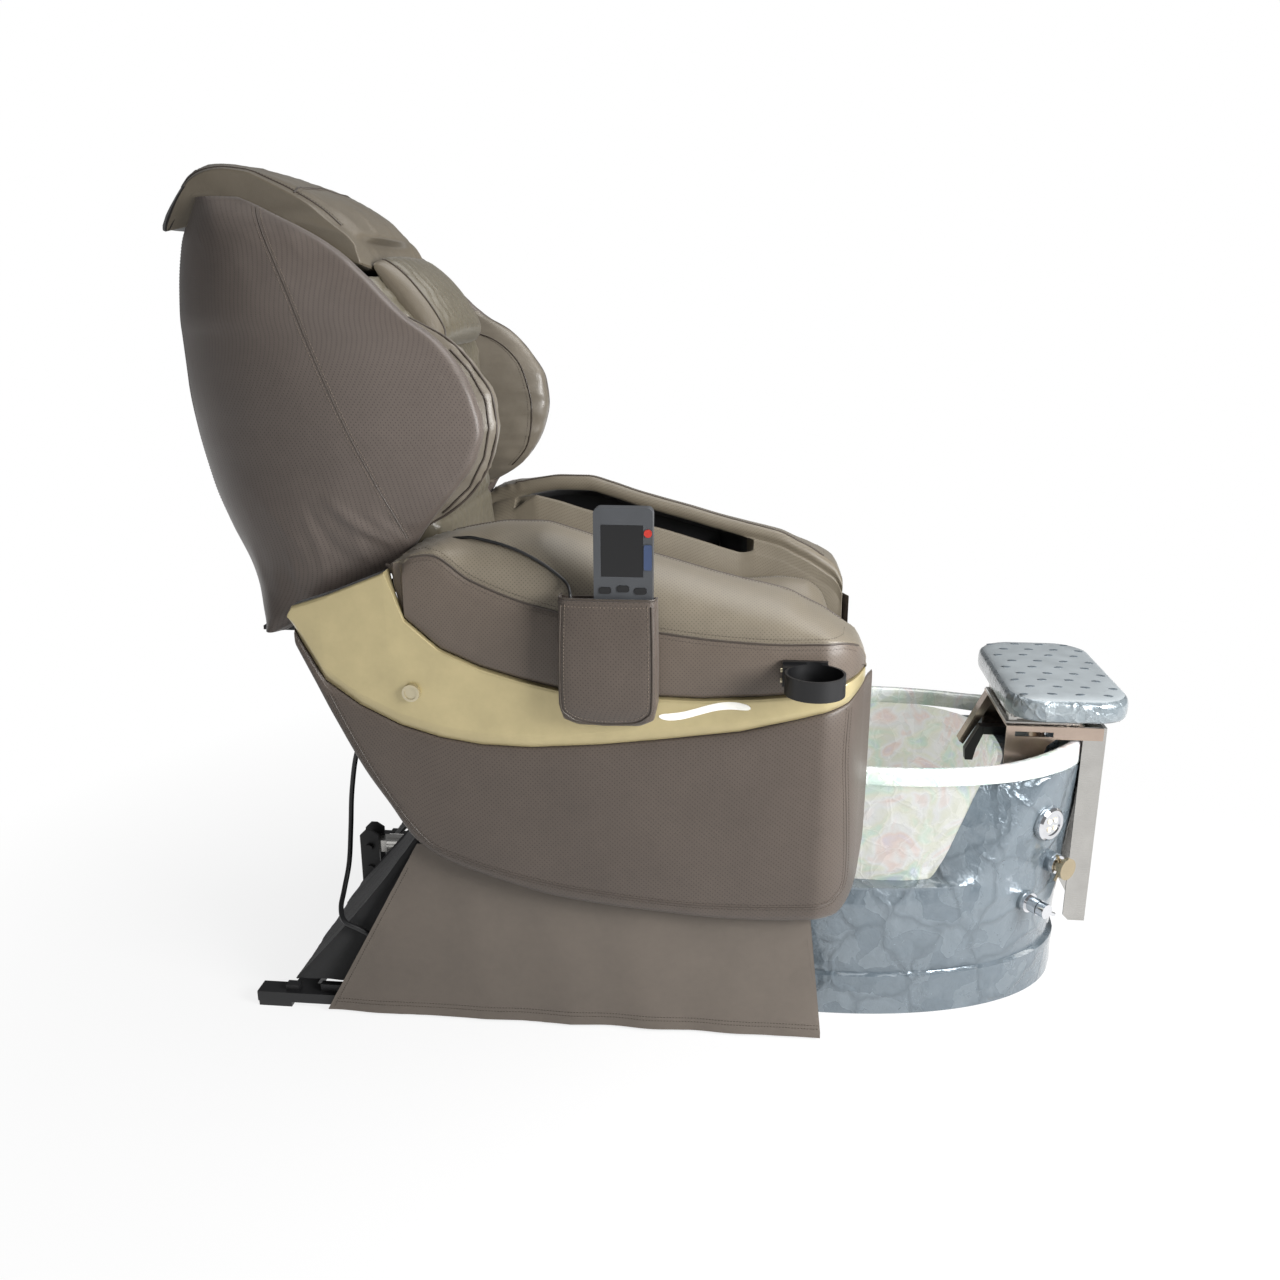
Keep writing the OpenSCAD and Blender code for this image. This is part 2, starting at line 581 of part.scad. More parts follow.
// Arm: outer wall, domed top and a forearm channel behind an overhanging edge
function seam_z(x) = lookup(x, [[-349, 792], [-335, 812], [-306, 836], [-246, 801], [-168, 771], [-106, 754],
  [-45, 739], [48, 726], [140, 716], [231, 712], [300, 714], [322, 714], [340, 710], [356, 700],
  [368, 676]]);
function crown_z(x) = lookup(x, [[-349, 800], [-335, 822], [-306, 846], [-250, 868], [-200, 875], [-150, 875],
  [-100, 863], [-50, 847], [0, 833], [60, 817], [120, 800], [180, 785], [215, 777], [245, 769],
  [275, 754], [300, 742], [322, 728], [340, 716], [356, 704], [368, 680]]);
function crown_y(x) = lookup(x, [[-349, 264], [-250, 252], [150, 247], [250, 240], [340, 236], [368, 234]]);
function channel(x) = lookup(x, [[-296, 0], [-250, 1], [120, 1], [165, 0.7], [190, 0]]);
function inner_top(x) = lookup(x, [[-250, 838], [-200, 826], [-150, 811], [-100, 799], [-50, 786], [0, 775],
  [60, 758], [120, 740], [165, 724]]);
channel_out = 320;                // outer wall of the channel
channel_in = 236;                 // inner wall of the channel
function channel_floor(x) = crown_z(x) - channel_deep;

function arm_ring(x) = let (o = side_y(x), tt = trim_top(x), s = seam_z(x), c = crown_z(x), cy = crown_y(x),
  d = channel(x), zb = x < -340 ? 700 : pan_top + soft, m = split_z(x) + soft, w = min(panel_in - 2, o - 34),
  side = o - 10 - cy, zf = channel_floor(x), zi = inner_top(x),
  hole = [[cy - 4, c - 31], [channel_out, c - 42], [channel_out, zf + 14], [channel_out - 14, zf],
    [channel_in + 14, zf], [channel_in, zf + 14], [channel_in, zi - 6], [channel_in - 6, zi]],
  line = [for (k = [1:8]) [mix(cy - 14, arm_in + 1, k / 9), mix(c - 27, c - 58, k / 9)]])
  [for (p = concat(
    [[w, zb], [w, max(m, zb + 1)], [o - trim_t - 1, max(m, zb + 1)], [o - trim_t - 1, tt + 1], [o - 6, tt + 5],
      [o - 4, (tt + s) / 2 - 4], [o - 7, s - 8], [o - 10, s - 1]],
    [for (a = [8, 24, 40, 56, 73, 90]) [cy + side * cos(a), s + 2 + (c - s - 2) * sin(a)]],
    [[cy - 10, c - 5], [cy - 14, c - 16], [cy - 10, c - 27]],
    [for (k = [0:7]) mix(line[k], hole[k], d)],
    [[arm_in, mix(c - 62, zi - 8, d)], [arm_in, zb + 8]])) [x, -p[0], p[1]]];
arm_uneven = 0.12;
module arm() skin(uneven([for (x = stations) arm_ring(x)], arm_uneven, 0));
module arm_right() color("#6f675a") arm();
module arm_left() color("#6f675a") mirror([0, 1, 0]) arm();

liner_t = 4;
function liner_ring(x) = let (zf = channel_floor(x), c = crown_z(x), a = channel_out - 0.6, b = channel_in + 0.6,
  t = liner_t)
  [for (p = [[a, c - 48], [a, zf + 15], [a - 15, zf + 0.6], [b + 15, zf + 0.6], [b, zf + 15], [b, zf + 32],
    [b + t, zf + 32], [b + t, zf + 16], [b + 16, zf + t + 0.6], [a - 16, zf + t + 0.6], [a - t, zf + 16],
    [a - t, c - 48]]) [x, -p[0], p[1]]];
module arm_liners() color("#101012") both_sides()
  skin([for (x = [-250, -200, -150, -100, -50, 0, 60, 120]) liner_ring(x)]);

cup_p = [283, -422];
cup_z = 655;
cup_r = cup_bore / 2;
module side_fasteners() color("#b9b4a4") {
  both_sides() difference() {
    y_rod(-343, 621, -trim_y - 8, -trim_y - soft, bolt_d / 2);
    y_rod(-343, 621, -trim_y - 9, -trim_y - 6, bolt_d / 2 - 4);
  }
  for (z = [663, 679]) x_rod(236 - soft - 3, 236 - soft, -388, z, 3.5);
}

strip_t = 1.6;
function wave(x) = 600 - 8 * sin((x - 20) * 2) + (x - 34) * 0.06;
module light_strips() color("#f4f2ea") both_sides() xz_plate(-trim_y - soft - strip_t, -trim_y - soft)
  for (i = [0:14]) let (x0 = 48.5 + i * 9.4, x1 = x0 + 9.4)
    polygon([[x0, wave(x0) - 6], [x1, wave(x1) - 6], [x1, wave(x1) + 6], [x0, wave(x0) + 6]]);

skirt_y = panel_in - 0.5;         // outer face of the skirts' top
function skirt_top(x) = lookup(x, [[-541, skirt_gap + 2], [-362, 337], [-300, 336], [-200, 300], [0, 268], [295, 262],
  [324, 10 + skirt_gap]]);
module side_skirts() color("#635b50") both_sides()
  skin([for (x = [-541, -510, -480, -440, -400, -362, -330, -300, -200, -100, 0, 100, 200, 280, 295, 310, 324])
    let (f = 1.6 * sin(x * 2.3), z0 = skirt_gap, z1 = skirt_top(x), y0 = skirt_y - 0.2, s = skirt_t)
    [[x, -(y0 + f + 1.4), z0], [x, -(y0 + f * 0.6), mix(z0, z1, 0.35)], [x, -y0, z1],
      [x, -(y0 - s), z1], [x, -(y0 - s + f * 0.6), mix(z0, z1, 0.35)], [x, -(y0 - s + f + 1.4), z0]]]);

// Curtain: hangs behind the seat, bulges over the crank, wraps round both sides, and is cut out
// where the actuator passes
curtain_path = [[-419.7, 467], [-419.7, 452], [-386, 402], [-362, 352], [-376, 325], [-430, 250], [-512, 150],
  [-600, 52]];
curtain_half = 316;
curtain_t = 2.6;
function fold(y) = 5 * sin(y * 2.6) + 3 * sin(y * 5.1 + 40);
function bulge(i, y) = i < 2 || i > 4 ? 0 : 25 * smooth((52 - abs(y)) / 24);
function wrap_x(p) = max(p.x + 3, min(-357, -527 + 0.5424 * (p.y - 7)));
function curtain_column(y) = let (n = len(curtain_path),
  path = [for (i = [0:n - 1]) let (g = clamp01((i - 2) / 4) * fold(y))
    curtain_path[i] + [g * 0.5 - bulge(i, y), g * 0.45]])
  concat([for (p = path) [p.x, y, p.y]], [for (i = [n - 1:-1:0]) [path[i].x - curtain_t, y, path[i].y + 1.8]]);
function curtain_wrap(s) = let (n = len(curtain_path))
  concat([for (p = curtain_path) [wrap_x(p), s * (curtain_half - curtain_t), p.y]],
    [for (i = [n - 1:-1:0]) let (p = curtain_path[i]) [wrap_x(p), s * curtain_half, p.y + 1]]);
module rear_curtain() color("#151518") difference() {
  skin(concat([curtain_wrap(-1)], [for (k = [-13:13]) curtain_column(k * (curtain_half - curtain_t / 2) / 13)],
    [curtain_wrap(1)]));
  box([-700, slide_y - 50, 0], [-380, slide_y + 50, 240]);
}

module cup_holder() color("#161617") {
  difference() {
    union() {
      translate([cup_p.x, cup_p.y, cup_z]) cylinder(r = cup_r + cup_wall, h = cup_h, $fn = 96);
      box([236, -trim_y - 24, cup_z + 2], [300, -trim_y - 0.8, cup_z + cup_h]);
      box([236, -trim_y - 6, cup_z - 4], [304, -trim_y + 3.2, cup_z + cup_h + 4]);
    }
    translate([cup_p.x, cup_p.y, cup_z + 3]) cylinder(r = cup_r, h = 99, $fn = 96);
    translate([cup_p.x, cup_p.y, cup_z - 1]) cylinder(r = 6, h = 9);
    box([230, -trim_y - 1, cup_z - 9], [310, -trim_y + 4, cup_z - 2 + 0]);
  }
}

// ---------- remote, pocket and cords ----------

pocket_back = trim_y + 0.4;
remote_x = -4;
remote_z = 634;
remote_back = pocket_back + 2.8;
remote_face = remote_back + remote_t;
function pocket_ring(z, inset) = let (k = lookup(z, [[582, 0.72], [594, 0.93], [620, 1], [700, 1], [785, 0.98]]),
  front = pocket_back + lookup(z, [[582, 14], [594, 28], [620, 38], [700, 40], [785, 34]]) - inset,
  back = pocket_back + inset * 0.85, x0 = mix(-30, -104, k) + inset, x1 = mix(-30, 48, k) - inset, r = 12)
  [[x0, -back, z], [x0, -(front - r), z], [x0 + 0.3 * r, -(front - 0.3 * r), z], [x0 + r, -front, z],
    [mix(x0, x1, 0.5), -(front + 2), z], [x1 - r, -front, z], [x1 - 0.3 * r, -(front - 0.3 * r), z],
    [x1, -(front - r), z], [x1, -back, z], [mix(x0, x1, 0.5), -back, z]];
pocket_floor = remote_z - soft;
module remote_pocket() color("#5a5149") {
  skin(concat([for (z = [582, 594, 620, 700, 785]) pocket_ring(z, 0)],
    [for (z = [785, 700, pocket_floor]) pocket_ring(z, 2.6)]));
}

module remote_body() color("#8a8f95") difference() {
  union() {
    xz_plate(-remote_face, -remote_back)
      rounded([remote_x - remote_w / 2, remote_z], [remote_x + remote_w / 2, remote_z + remote_l], 9);
  }
  xz_plate(-remote_face - 1, -remote_face + 1.5) translate([-37, 821]) square([63, 78]);
  y_rod(power_p.x, power_p.y, -remote_face - 1, -remote_face + 5, 6 + key_gap);
  xz_plate(-remote_face - 1, -remote_face + 5)
    rounded(rocker_p - [6, 19] - [key_gap, key_gap], rocker_p + [6, 19] + [key_gap, key_gap], 3);
  for (p = oval_p) xz_plate(-remote_face - 1, -remote_face + 5)
    rounded(p - oval_h - [key_gap, key_gap], p + oval_h + [key_gap, key_gap], 4);
}
power_p = [33, 887];
rocker_p = [33, 851];
oval_p = [[-31, 800], [-4, 803], [22, 800]];
oval_h = [9, 5];
module remote_screen() color("#0c0e12") xz_plate(-remote_face, -remote_face + 1.2)
  translate([-36.8, 821.2]) square([62.6, 77.6]);
module remote_power() color("#c0392b") y_rod(power_p.x, power_p.y, -remote_face - 1.5, -remote_face + 3.4, 6);
module remote_rocker() color("#3c4148") difference() {
  xz_plate(-remote_face - 1.8, -remote_face + 2.6) rounded(rocker_p - [6, 19], rocker_p + [6, 19], 3);
}
module remote_key(p) color("#d5d8dc")
  xz_plate(-remote_face - 1.2, -remote_face + 3.4) rounded(p - oval_h, p + oval_h, 4);

// Routes of the two cords
cord_route = [[-300, -284, 848.3], [-300, -285, 853], [-288, -302, 854], [-270, -315, 857.5], [-253, -320, 859.5],
  [-236, -324, 858], [-203, -332, 852.5], [-170, -340, 843], [-138, -347, 828.5], [-116, -352, 815], [-98, -362, 803],
  [-90, -377, 798], [-86, -389, 792], [-85, -392, 784], [-85, -392, 772]];
cable_route = [[-417.6, -200, 477], [-428, -200, 477], [-454, -200, 483], [-484, -200, 474], [-505, -200, 440],
  [-519, -200, 368], [-522, -212, 300], [-520, -238, 245], [-520, -272, 208], [-516, -304, 190],
  [-503, -325.5, 176], [-478, -326, 163], [-452, -324, 145], [-440, -323.2, 120], [-440, -323, beam_top + 0.3]];
module rear_cable() color("#121213") tube(curve(cable_route, 2), cable_d, 8, [0.2, 1, 0.1]);
module remote_cord() color("#17171a") tube(curve(cord_route, 2), cord_d, 8, [0.1, 0.15, 1]);

// ---------- recline actuator ----------

crank_r = 100;
crank_lag = 15;                   // crank's lean to the rear at rest, in degrees
crank_p = [-pivot_back - crank_r * sin(crank_lag), pivot_z - crank_r * cos(crank_lag)];
eye_x = -386;
recline_rod_r = 11;
module recline_tube() color("#2f3134") difference() {
  union() {
    x_rod(-190, 32, 0, tube_axis_z, 24);
    box([30, -12.6, tube_axis_z - 12], [62, 12.6, tube_axis_z + 12]);
    translate([4, 0, 318]) cylinder(r = 23, h = 72);
  }
  x_rod(-191, 0, 0, tube_axis_z, recline_rod_r + fit);
}
module recline_rod() color("#c2c5c8") {
  x_rod(-352, -68, 0, tube_axis_z, recline_rod_r);
  box([eye_x + 27, -12, tube_axis_z - 12], [eye_x + 38, 12, tube_axis_z + 12]);
  for (s = [0, 1]) mirror([0, s, 0]) xz_plate(-12, -6.5) {
    translate([eye_x, tube_axis_z]) circle(14);
    translate([eye_x, tube_axis_z - 12]) square([30, 24]);
  }
  y_rod(eye_x, tube_axis_z, -12, 12, 6);
}

// ---------- back ----------

track_lean = atan(0.1923);        // massage track's lean to the rear
function track_x(z) = -500 - 0.1923 * (z - 720);
track_z0 = 735;
track_l = 529;
pad_stand = 108;                  // from the track to the pad's rear face
// Local frame on the track: +Z along it, +X out of it towards the pad
module on_track() translate([track_x(track_z0), 0, track_z0]) rotate([0, -track_lean, 0]) children();

upright_y = 220;
slat_z = [15, 494];
module back_frame() color("#3a3c40") {
  y_rod(-pivot_back, pivot_z, -278, 278, pivot_r);
  both_sides() {
    xz_plate(-256, -248) bar([-pivot_back, pivot_z], [track_x(741), 741], 34);
    on_track() translate([0, -upright_y, -38]) cylinder(r = 12, h = track_l + 30);
    on_track() translate([0, -150, 3]) cylinder(r = massage_rail_r, h = track_l - 3);
  }
  for (c = [[6, 252], [track_l - 12, upright_y]]) on_track() translate([0, c[1], c[0]]) rotate([90, 0, 0])
    cylinder(r = 10, h = 2 * c[1]);
  for (s = slat_z) on_track() box([0, -120, s - 6], [pad_stand - soft, 120, s + 6]);
  difference() {
    box([-628, -260, 683], [-484, 260, shell_z0 - soft]);
    box([-600, -225, 680], [-515, 225, 700]);
  }
  difference() {
    xz_plate(-5, 5) {
      bar([-pivot_back, pivot_z], crank_p, 28);
      translate(crank_p) circle(18);
    }
    y_rod(crank_p.x, crank_p.y, -6, 6, 11);
  }
}

shell_z0 = 690;
shell_levels = [690, 720, 760, 800, 837, 862, 887, 927, 974, 1021, 1066, 1111, 1156, 1188, 1214, 1257, 1300,
  1335, 1370];
function shell_back(z) = lookup(z, [[690, -632], [723, -662], [786, -700], [847, -737], [916, -767], [1001, -789],
  [1085, -799], [1166, -800], [1230, -793], [1300, -778], [1335, -762], [1370, -742]]);
function shell_front(z) = lookup(z, [[690, -585], [720, -530], [760, -452], [800, -394], [837, -362], [862, -330],
  [887, -304], [927, -274], [974, -251], [1021, -245], [1066, -255], [1111, -277], [1156, -314],
  [1188, -359], [1214, -388], [1257, -432], [1300, -490], [1335, -562], [1370, -642]]);
function shell_w(z) = lookup(z, [[690, 328], [850, 333], [1000, 333], [1100, 329], [1200, 317], [1300, 288],
  [1335, 262], [1370, 222]]);
function shell_t(z) = lookup(z, [[690, 20], [720, 28], [760, 34], [850, 38], [1300, 36], [1370, 28]]);
shell_n = 16;
function shell_pt(z, k, t) = let (a = -90 + 180 * k / shell_n, c = pow(abs(cos(a)), 0.8), s = pow(abs(sin(a)), 0.8),
  xf = shell_front(z), f = 1 - c)
  [xf + (shell_back(z) + t - xf) * c, (shell_w(z) - t) * sign(a) * s * (1 - 0.13 * f * f), z];
shell_uneven = 0.25;
function shell_ring(z) = let (t = shell_t(z), lip = min(9, t * 0.3),
  o = [for (k = [0:shell_n]) shell_pt(z, k, 0)], i = [for (k = [shell_n:-1:0]) shell_pt(z, k, t)])
  concat(o, [(o[shell_n] + i[0]) / 2 + [lip, 0, 0]], i, [(o[0] + i[shell_n]) / 2 + [lip, 0, 0]]);
module back_shell() color("#4f463f") skin(uneven([for (z = shell_levels) shell_ring(z)], shell_uneven, 2));

// Wings: pads along the shell's inner front edges, with a rounded rim that stands out in front
wing_levels = [862, 887, 927, 974, 1021, 1066, 1111, 1156, 1188];
function wing_rim(z) = lookup(z, [[862, -318], [887, -292], [927, -258], [974, -235], [1021, -226], [1066, -233],
  [1111, -253], [1156, -292], [1188, -352]]);
function wing_t(z) = lookup(z, [[862, 14], [887, 34], [927, 50], [1000, 56], [1066, 56], [1111, 48], [1156, 32],
  [1188, 12]]);
function wing_ring(z) = let (w = wing_t(z), xr = wing_rim(z),
  wall = [for (k = [0:3]) let (q = k * 0.7 * w / 56, n = floor(q))
    mix(shell_pt(z, n, shell_t(z)), shell_pt(z, n + 1, shell_t(z)), q - n)
      + [0.3, k == 0 || k == 3 ? 0.8 : 1.2, 0]],
  x0 = wall[0].x, y0 = wall[0].y, x3 = wall[3].x, y3 = wall[3].y, yi = y0 + w)
  concat(wall, [[x3 + 7, mix(y3, yi, 0.5), z], [x3 + 24, mix(y3, yi, 0.92), z], [mix(x3, xr, 0.5), yi, z],
    [mix(x3, xr, 0.84), mix(y0, yi, 0.97), z], [xr - 6, mix(y0, yi, 0.8), z], [xr, mix(y0, yi, 0.5), z],
    [xr - 5, mix(y0, yi, 0.16), z], [x0 + 3.5, y0 + 1.5, z]]);
module shoulder_wings() color("#62584f") both_sides() skin([for (z = wing_levels) wing_ring(z)]);

pad_z0 = 664;
pad_z1 = 1250;
pad_half_y = 198;
face_slope = 0.7240;              // the head end of the pad leans back, and the pillow lies on it
function pad_face(z) = lookup(z, [[664, -318], [700, -312], [760, -316], [850, -324], [950, -331], [1050, -336],
  [1120, -338], [1134, -341.6], [1250, -341.6 - face_slope * 116]]);
function pad_rear(z) = track_x(z) + pad_stand / cos(track_lean);
pad_seams = [760, 860, 960, 1060];
function groove(z) = let (d = min([for (s = pad_seams) abs(z - s)])) d < 1 ? 9 : d < 8 ? 1 : 0;
pad_rows = concat([664, 676], [for (s = pad_seams) each [s - 30, s - 7, s, s + 7, s + 30]],
  [1120, 1134, 1190, 1240, 1250]);
module back_pad() color("#6a6054") skin([for (z = pad_rows)
  let (e = z < 670 || z > 1245 ? 5 : 0, xf = pad_face(z) - groove(z) - (z < 670 ? 8 : 0), xr = pad_rear(z),
    side = [[1, -56], [0.985, -30], [0.93, -11], [0.82, -3], [0.7, 0], [0.36, z < 1100 ? 0 : 0],
      [0.32, z < 1100 ? -7 : 0], [0.28, z < 1100 ? 0 : 0]], q = len(side))
  concat([[xr, -(pad_half_y - e - 6), z]], [for (p = side) [max(xf + p[1], xr + 14), -p[0] * (pad_half_y - e), z]],
    [for (i = [q - 1:-1:0]) [max(xf + side[i][1], xr + 14), side[i][0] * (pad_half_y - e), z]],
    [[xr, pad_half_y - e - 6, z]])]);

// Hood: section at the middle and section at the side edge, in X and Z
hood_half = 186;
hood_mid = [[-427, 1250.6], [-446, 1277], [-464, 1301], [-454, 1311], [-440, 1322], [-467, 1349], [-518, 1378],
  [-569, 1398], [-638, 1422], [-690, 1433], [-735, 1431], [-770, 1402], [-797, 1366], [-818, 1330],
  [-812, 1327], [-791, 1362], [-765, 1395], [-735, 1413], [-690, 1404], [-640, 1384], [-590, 1342],
  [-540, 1295], [-500, 1250.6]];
hood_edge = [[-440, 1250.6], [-452, 1266], [-463, 1279], [-466, 1283], [-472, 1290], [-490, 1306], [-525, 1331],
  [-570, 1360], [-620, 1386], [-667, 1400], [-708, 1398], [-730, 1376], [-748, 1350], [-764, 1320],
  [-758, 1317], [-742, 1346], [-724, 1372], [-704, 1386], [-667, 1389], [-630, 1377], [-590, 1344.8],
  [-540, 1296], [-500, 1250.6]];
hood_uneven = 0.15;
module head_hood() color("#5b5247")
  skin(uneven([for (s = [-1, -0.95, -0.82, -0.6, -0.3, 0, 0.3, 0.6, 0.82, 0.95, 1]) let (b = pow(abs(s), 2.3))
    [for (i = [0:len(hood_mid) - 1]) let (p = mix(hood_mid[i], hood_edge[i], b))
      [p.x, s * hood_half, p.y]]], hood_uneven, 1));

// Pillow: lies on the pad's leaning face; u runs down the face, v out of it
pillow_top = [-443, 1275];
pillow_l = 172;
pillow_t = 52;
face_a = atan(1 / face_slope);
function on_face(u, v, y) = [pillow_top.x + u * cos(face_a) + v * sin(face_a), y,
  pillow_top.y - u * sin(face_a) + v * cos(face_a)];
module head_pillow() color("#6d6455") skin([for (s = [-1, -0.96, -0.86, -0.6, -0.25, 0.25, 0.6, 0.86, 0.96, 1])
  let (r = sqrt(max(0, 1 - pow(abs(s), 6))), y = s * pillow_half, h = 8 + (pillow_t - 8) * r, e = 9 * (1 - r))
  [for (p = [[e + 4, 0], [e, 5], [e, h * 0.45], [e + 6, h * 0.8], [e + 20, h * 0.96], [pillow_l * 0.35, h],
      [pillow_l * 0.65, h], [pillow_l - e - 20, h * 0.94], [pillow_l - e - 6, h * 0.74], [pillow_l - e, h * 0.4],
      [pillow_l - e, 5], [pillow_l - e - 4, 0]]) on_face(p[0], max(p[1], 0), y)]]);

// ---------- massage unit ----------

carriage_s = 200;                 // rest place of the carriage along the track
carriage_l = 110;
axle_s = carriage_s + carriage_l / 2;
axle_out = 62;
axle_r = 6;
module massage_carriage() color("#2b2d31") on_track() difference() {
  union() {
    box([-20, -172, carriage_s], [20, 172, carriage_s + carriage_l]);
    for (y = [-42, 32]) {
      box([20, y, axle_s - 16], [axle_out, y + 10, axle_s + 16]);
      translate([axle_out, y + 10, axle_s]) rotate([90, 0, 0]) cylinder(r = 16, h = 10);
    }
    box([-48, -40, carriage_s + 15], [-20, 40, carriage_s + 95]);
  }
  for (y = [-150, 150]) translate([0, y, carriage_s - 1]) cylinder(r = massage_rail_r + fit, h = carriage_l + 2);
  translate([axle_out, 60, axle_s]) rotate([90, 0, 0]) cylinder(r = axle_r + fit, h = 120);
}
module massage_rollers() color("#d8cfc0") on_track() translate([axle_out, 0, axle_s]) rotate([90, 0, 0]) {
  translate([0, 0, -82]) cylinder(r = axle_r, h = 164);
  for (s = [-1, 1]) translate([4 * s, 0, s * 62 - 14]) cylinder(r = roller_r - 4, h = 28);
}

// ---------- output ----------

floor_rails();
rail_feet();
cross_members();
actuator_clevis();
slide_actuator();
basin_body();
basin_bowl();
basin_rim();
deck_cover();
front_panel();
footrest_bracket();
keypad_bezel();
valve_bodies();
spout();
jet_housing();
jet_rotor();
pipe_fittings();
footrest_slider();
footrest_plate();
footrest_pad();
valve_knob();
diverter_lever();
keypad_key(key_spots[0]);  // key_1
keypad_key(key_spots[1]);  // key_2
keypad_key(key_spots[2]);  // key_3
keypad_key(key_spots[3]);  // key_4
seat_frame();
seat_cushion();
side_panel_right();
side_panel_left();
arm_right();
arm_left();
arm_liners();
trim_right();
trim_left();
side_fasteners();
light_strips();
side_skirts();
rear_curtain();
cup_holder();
remote_pocket();
rear_cable();
remote_cord();
remote_body();
remote_screen();
remote_power();
remote_rocker();
remote_key(oval_p[0]);  // remote_key_1
remote_key(oval_p[1]);  // remote_key_2
remote_key(oval_p[2]);  // remote_key_3
recline_tube();
recline_rod();
back_frame();
back_shell();
back_pad();
shoulder_wings();
head_hood();
head_pillow();
massage_carriage();
massage_rollers();
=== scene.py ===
"""Pedicure spa chair: leather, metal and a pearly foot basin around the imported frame.

Everything is in metres in the frame's axes: +X to the front, +Y to the sitter's left, +Z up.
Tables and outlines are in millimetres, as the chair's own drawings are, and turned to metres
where a mesh is made.
"""

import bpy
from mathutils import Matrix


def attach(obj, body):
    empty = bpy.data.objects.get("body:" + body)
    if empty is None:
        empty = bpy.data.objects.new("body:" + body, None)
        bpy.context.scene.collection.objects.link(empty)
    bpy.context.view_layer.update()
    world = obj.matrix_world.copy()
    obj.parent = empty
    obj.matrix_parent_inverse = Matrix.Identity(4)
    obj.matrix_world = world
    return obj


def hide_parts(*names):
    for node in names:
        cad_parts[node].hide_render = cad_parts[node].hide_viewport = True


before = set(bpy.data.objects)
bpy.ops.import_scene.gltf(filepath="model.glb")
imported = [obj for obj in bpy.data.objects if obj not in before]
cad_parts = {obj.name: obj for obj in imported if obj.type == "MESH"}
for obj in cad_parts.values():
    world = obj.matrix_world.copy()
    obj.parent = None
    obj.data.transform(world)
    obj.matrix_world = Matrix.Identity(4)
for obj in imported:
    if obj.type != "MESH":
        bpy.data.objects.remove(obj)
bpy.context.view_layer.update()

import logging
import math
from dataclasses import dataclass, field
from enum import Enum
from typing import Callable, Optional, Sequence

import bmesh
import bpy
import numpy as np
from mathutils import Vector
from mathutils.bvhtree import BVHTree

LOG = logging.getLogger("spa_chair")
MM = 0.001
Array = np.ndarray
Point = tuple[float, ...]
Rows = Sequence[Point]
Object, Mesh, Material = bpy.types.Object, bpy.types.Mesh, bpy.types.Material
Tree, Node, Socket = bpy.types.NodeTree, bpy.types.Node, bpy.types.NodeSocket
LAST_BAND = 10  # how long the map takes the band that closes a loop to be
BESIDE_CHAIR = 620.0  # clear of either side


class Side(Enum):
    """Which side of the chair a piece is on, as the sign of its Y."""

    RIGHT = -1
    LEFT = 1

    @property
    def word(self) -> str:
        """The side as the names of pieces hold it."""
        return self.name.lower()


class Held(Enum):
    """How a sheet of cloth is held."""

    HUNG = "hung"


# ---------------------------------------------------------------- numbers


def follow(x: Array | float, rows: Rows) -> Array:
    """Smooth value at x through a table, with no overshoot between its rows.

    Args:
        x: One place or many.
        rows: Pairs of place and value, in rising order of place.

    Returns:
        The value at each place, held at the table's ends.
    """
    table = np.asarray(rows, float)
    xs, ys = table[:, 0], table[:, 1]
    h = np.diff(xs)
    d = np.diff(ys) / h
    slope = np.zeros_like(ys)
    slope[0], slope[-1] = d[0], d[-1]
    if len(h) > 1:
        a, b = 2 * h[1:] + h[:-1], h[1:] + 2 * h[:-1]
        rising = d[:-1] * d[1:] > 0
        safe = np.where(rising, 1, 0)
        slope[1:-1] = np.where(rising,
                               (a + b) / (a / np.where(safe, d[:-1], 1) + b / np.where(safe, d[1:], 1)), 0)
    x = np.clip(np.asarray(x, float), xs[0], xs[-1])
    i = np.clip(np.searchsorted(xs, x, side="right") - 1, 0, len(h) - 1)
    t = (x - xs[i]) / h[i]
    return (
        ys[i] * (1 + 2 * t) * (1 - t) ** 2
        + ys[i + 1] * t * t * (3 - 2 * t)
        + h[i] * (slope[i] * t * (1 - t) ** 2 - slope[i + 1] * t * t * (1 - t))
    )


def curved(x: float, rows: Rows) -> float:
    """Value of a table at x, on a smooth line through its rows."""
    return float(follow(x, rows))


def straight(x: float, rows: Rows) -> float:
    """Value of a table at x, with straight lines between its rows."""
    table = np.asarray(rows, float)
    return float(np.interp(x, table[:, 0], table[:, 1]))


def mix(a: float, b: float, t: float) -> float:
    """Blend from a to b."""
    return a + (b - a) * t


def smooth(t: Array | float) -> Array | float:
    """Eased step from 0 to 1."""
    t = np.clip(t, 0, 1)
    return t * t * (3 - 2 * t)


def eased(t: float) -> float:
    """Eased step from 0 to 1 at one place."""
    return float(smooth(t))


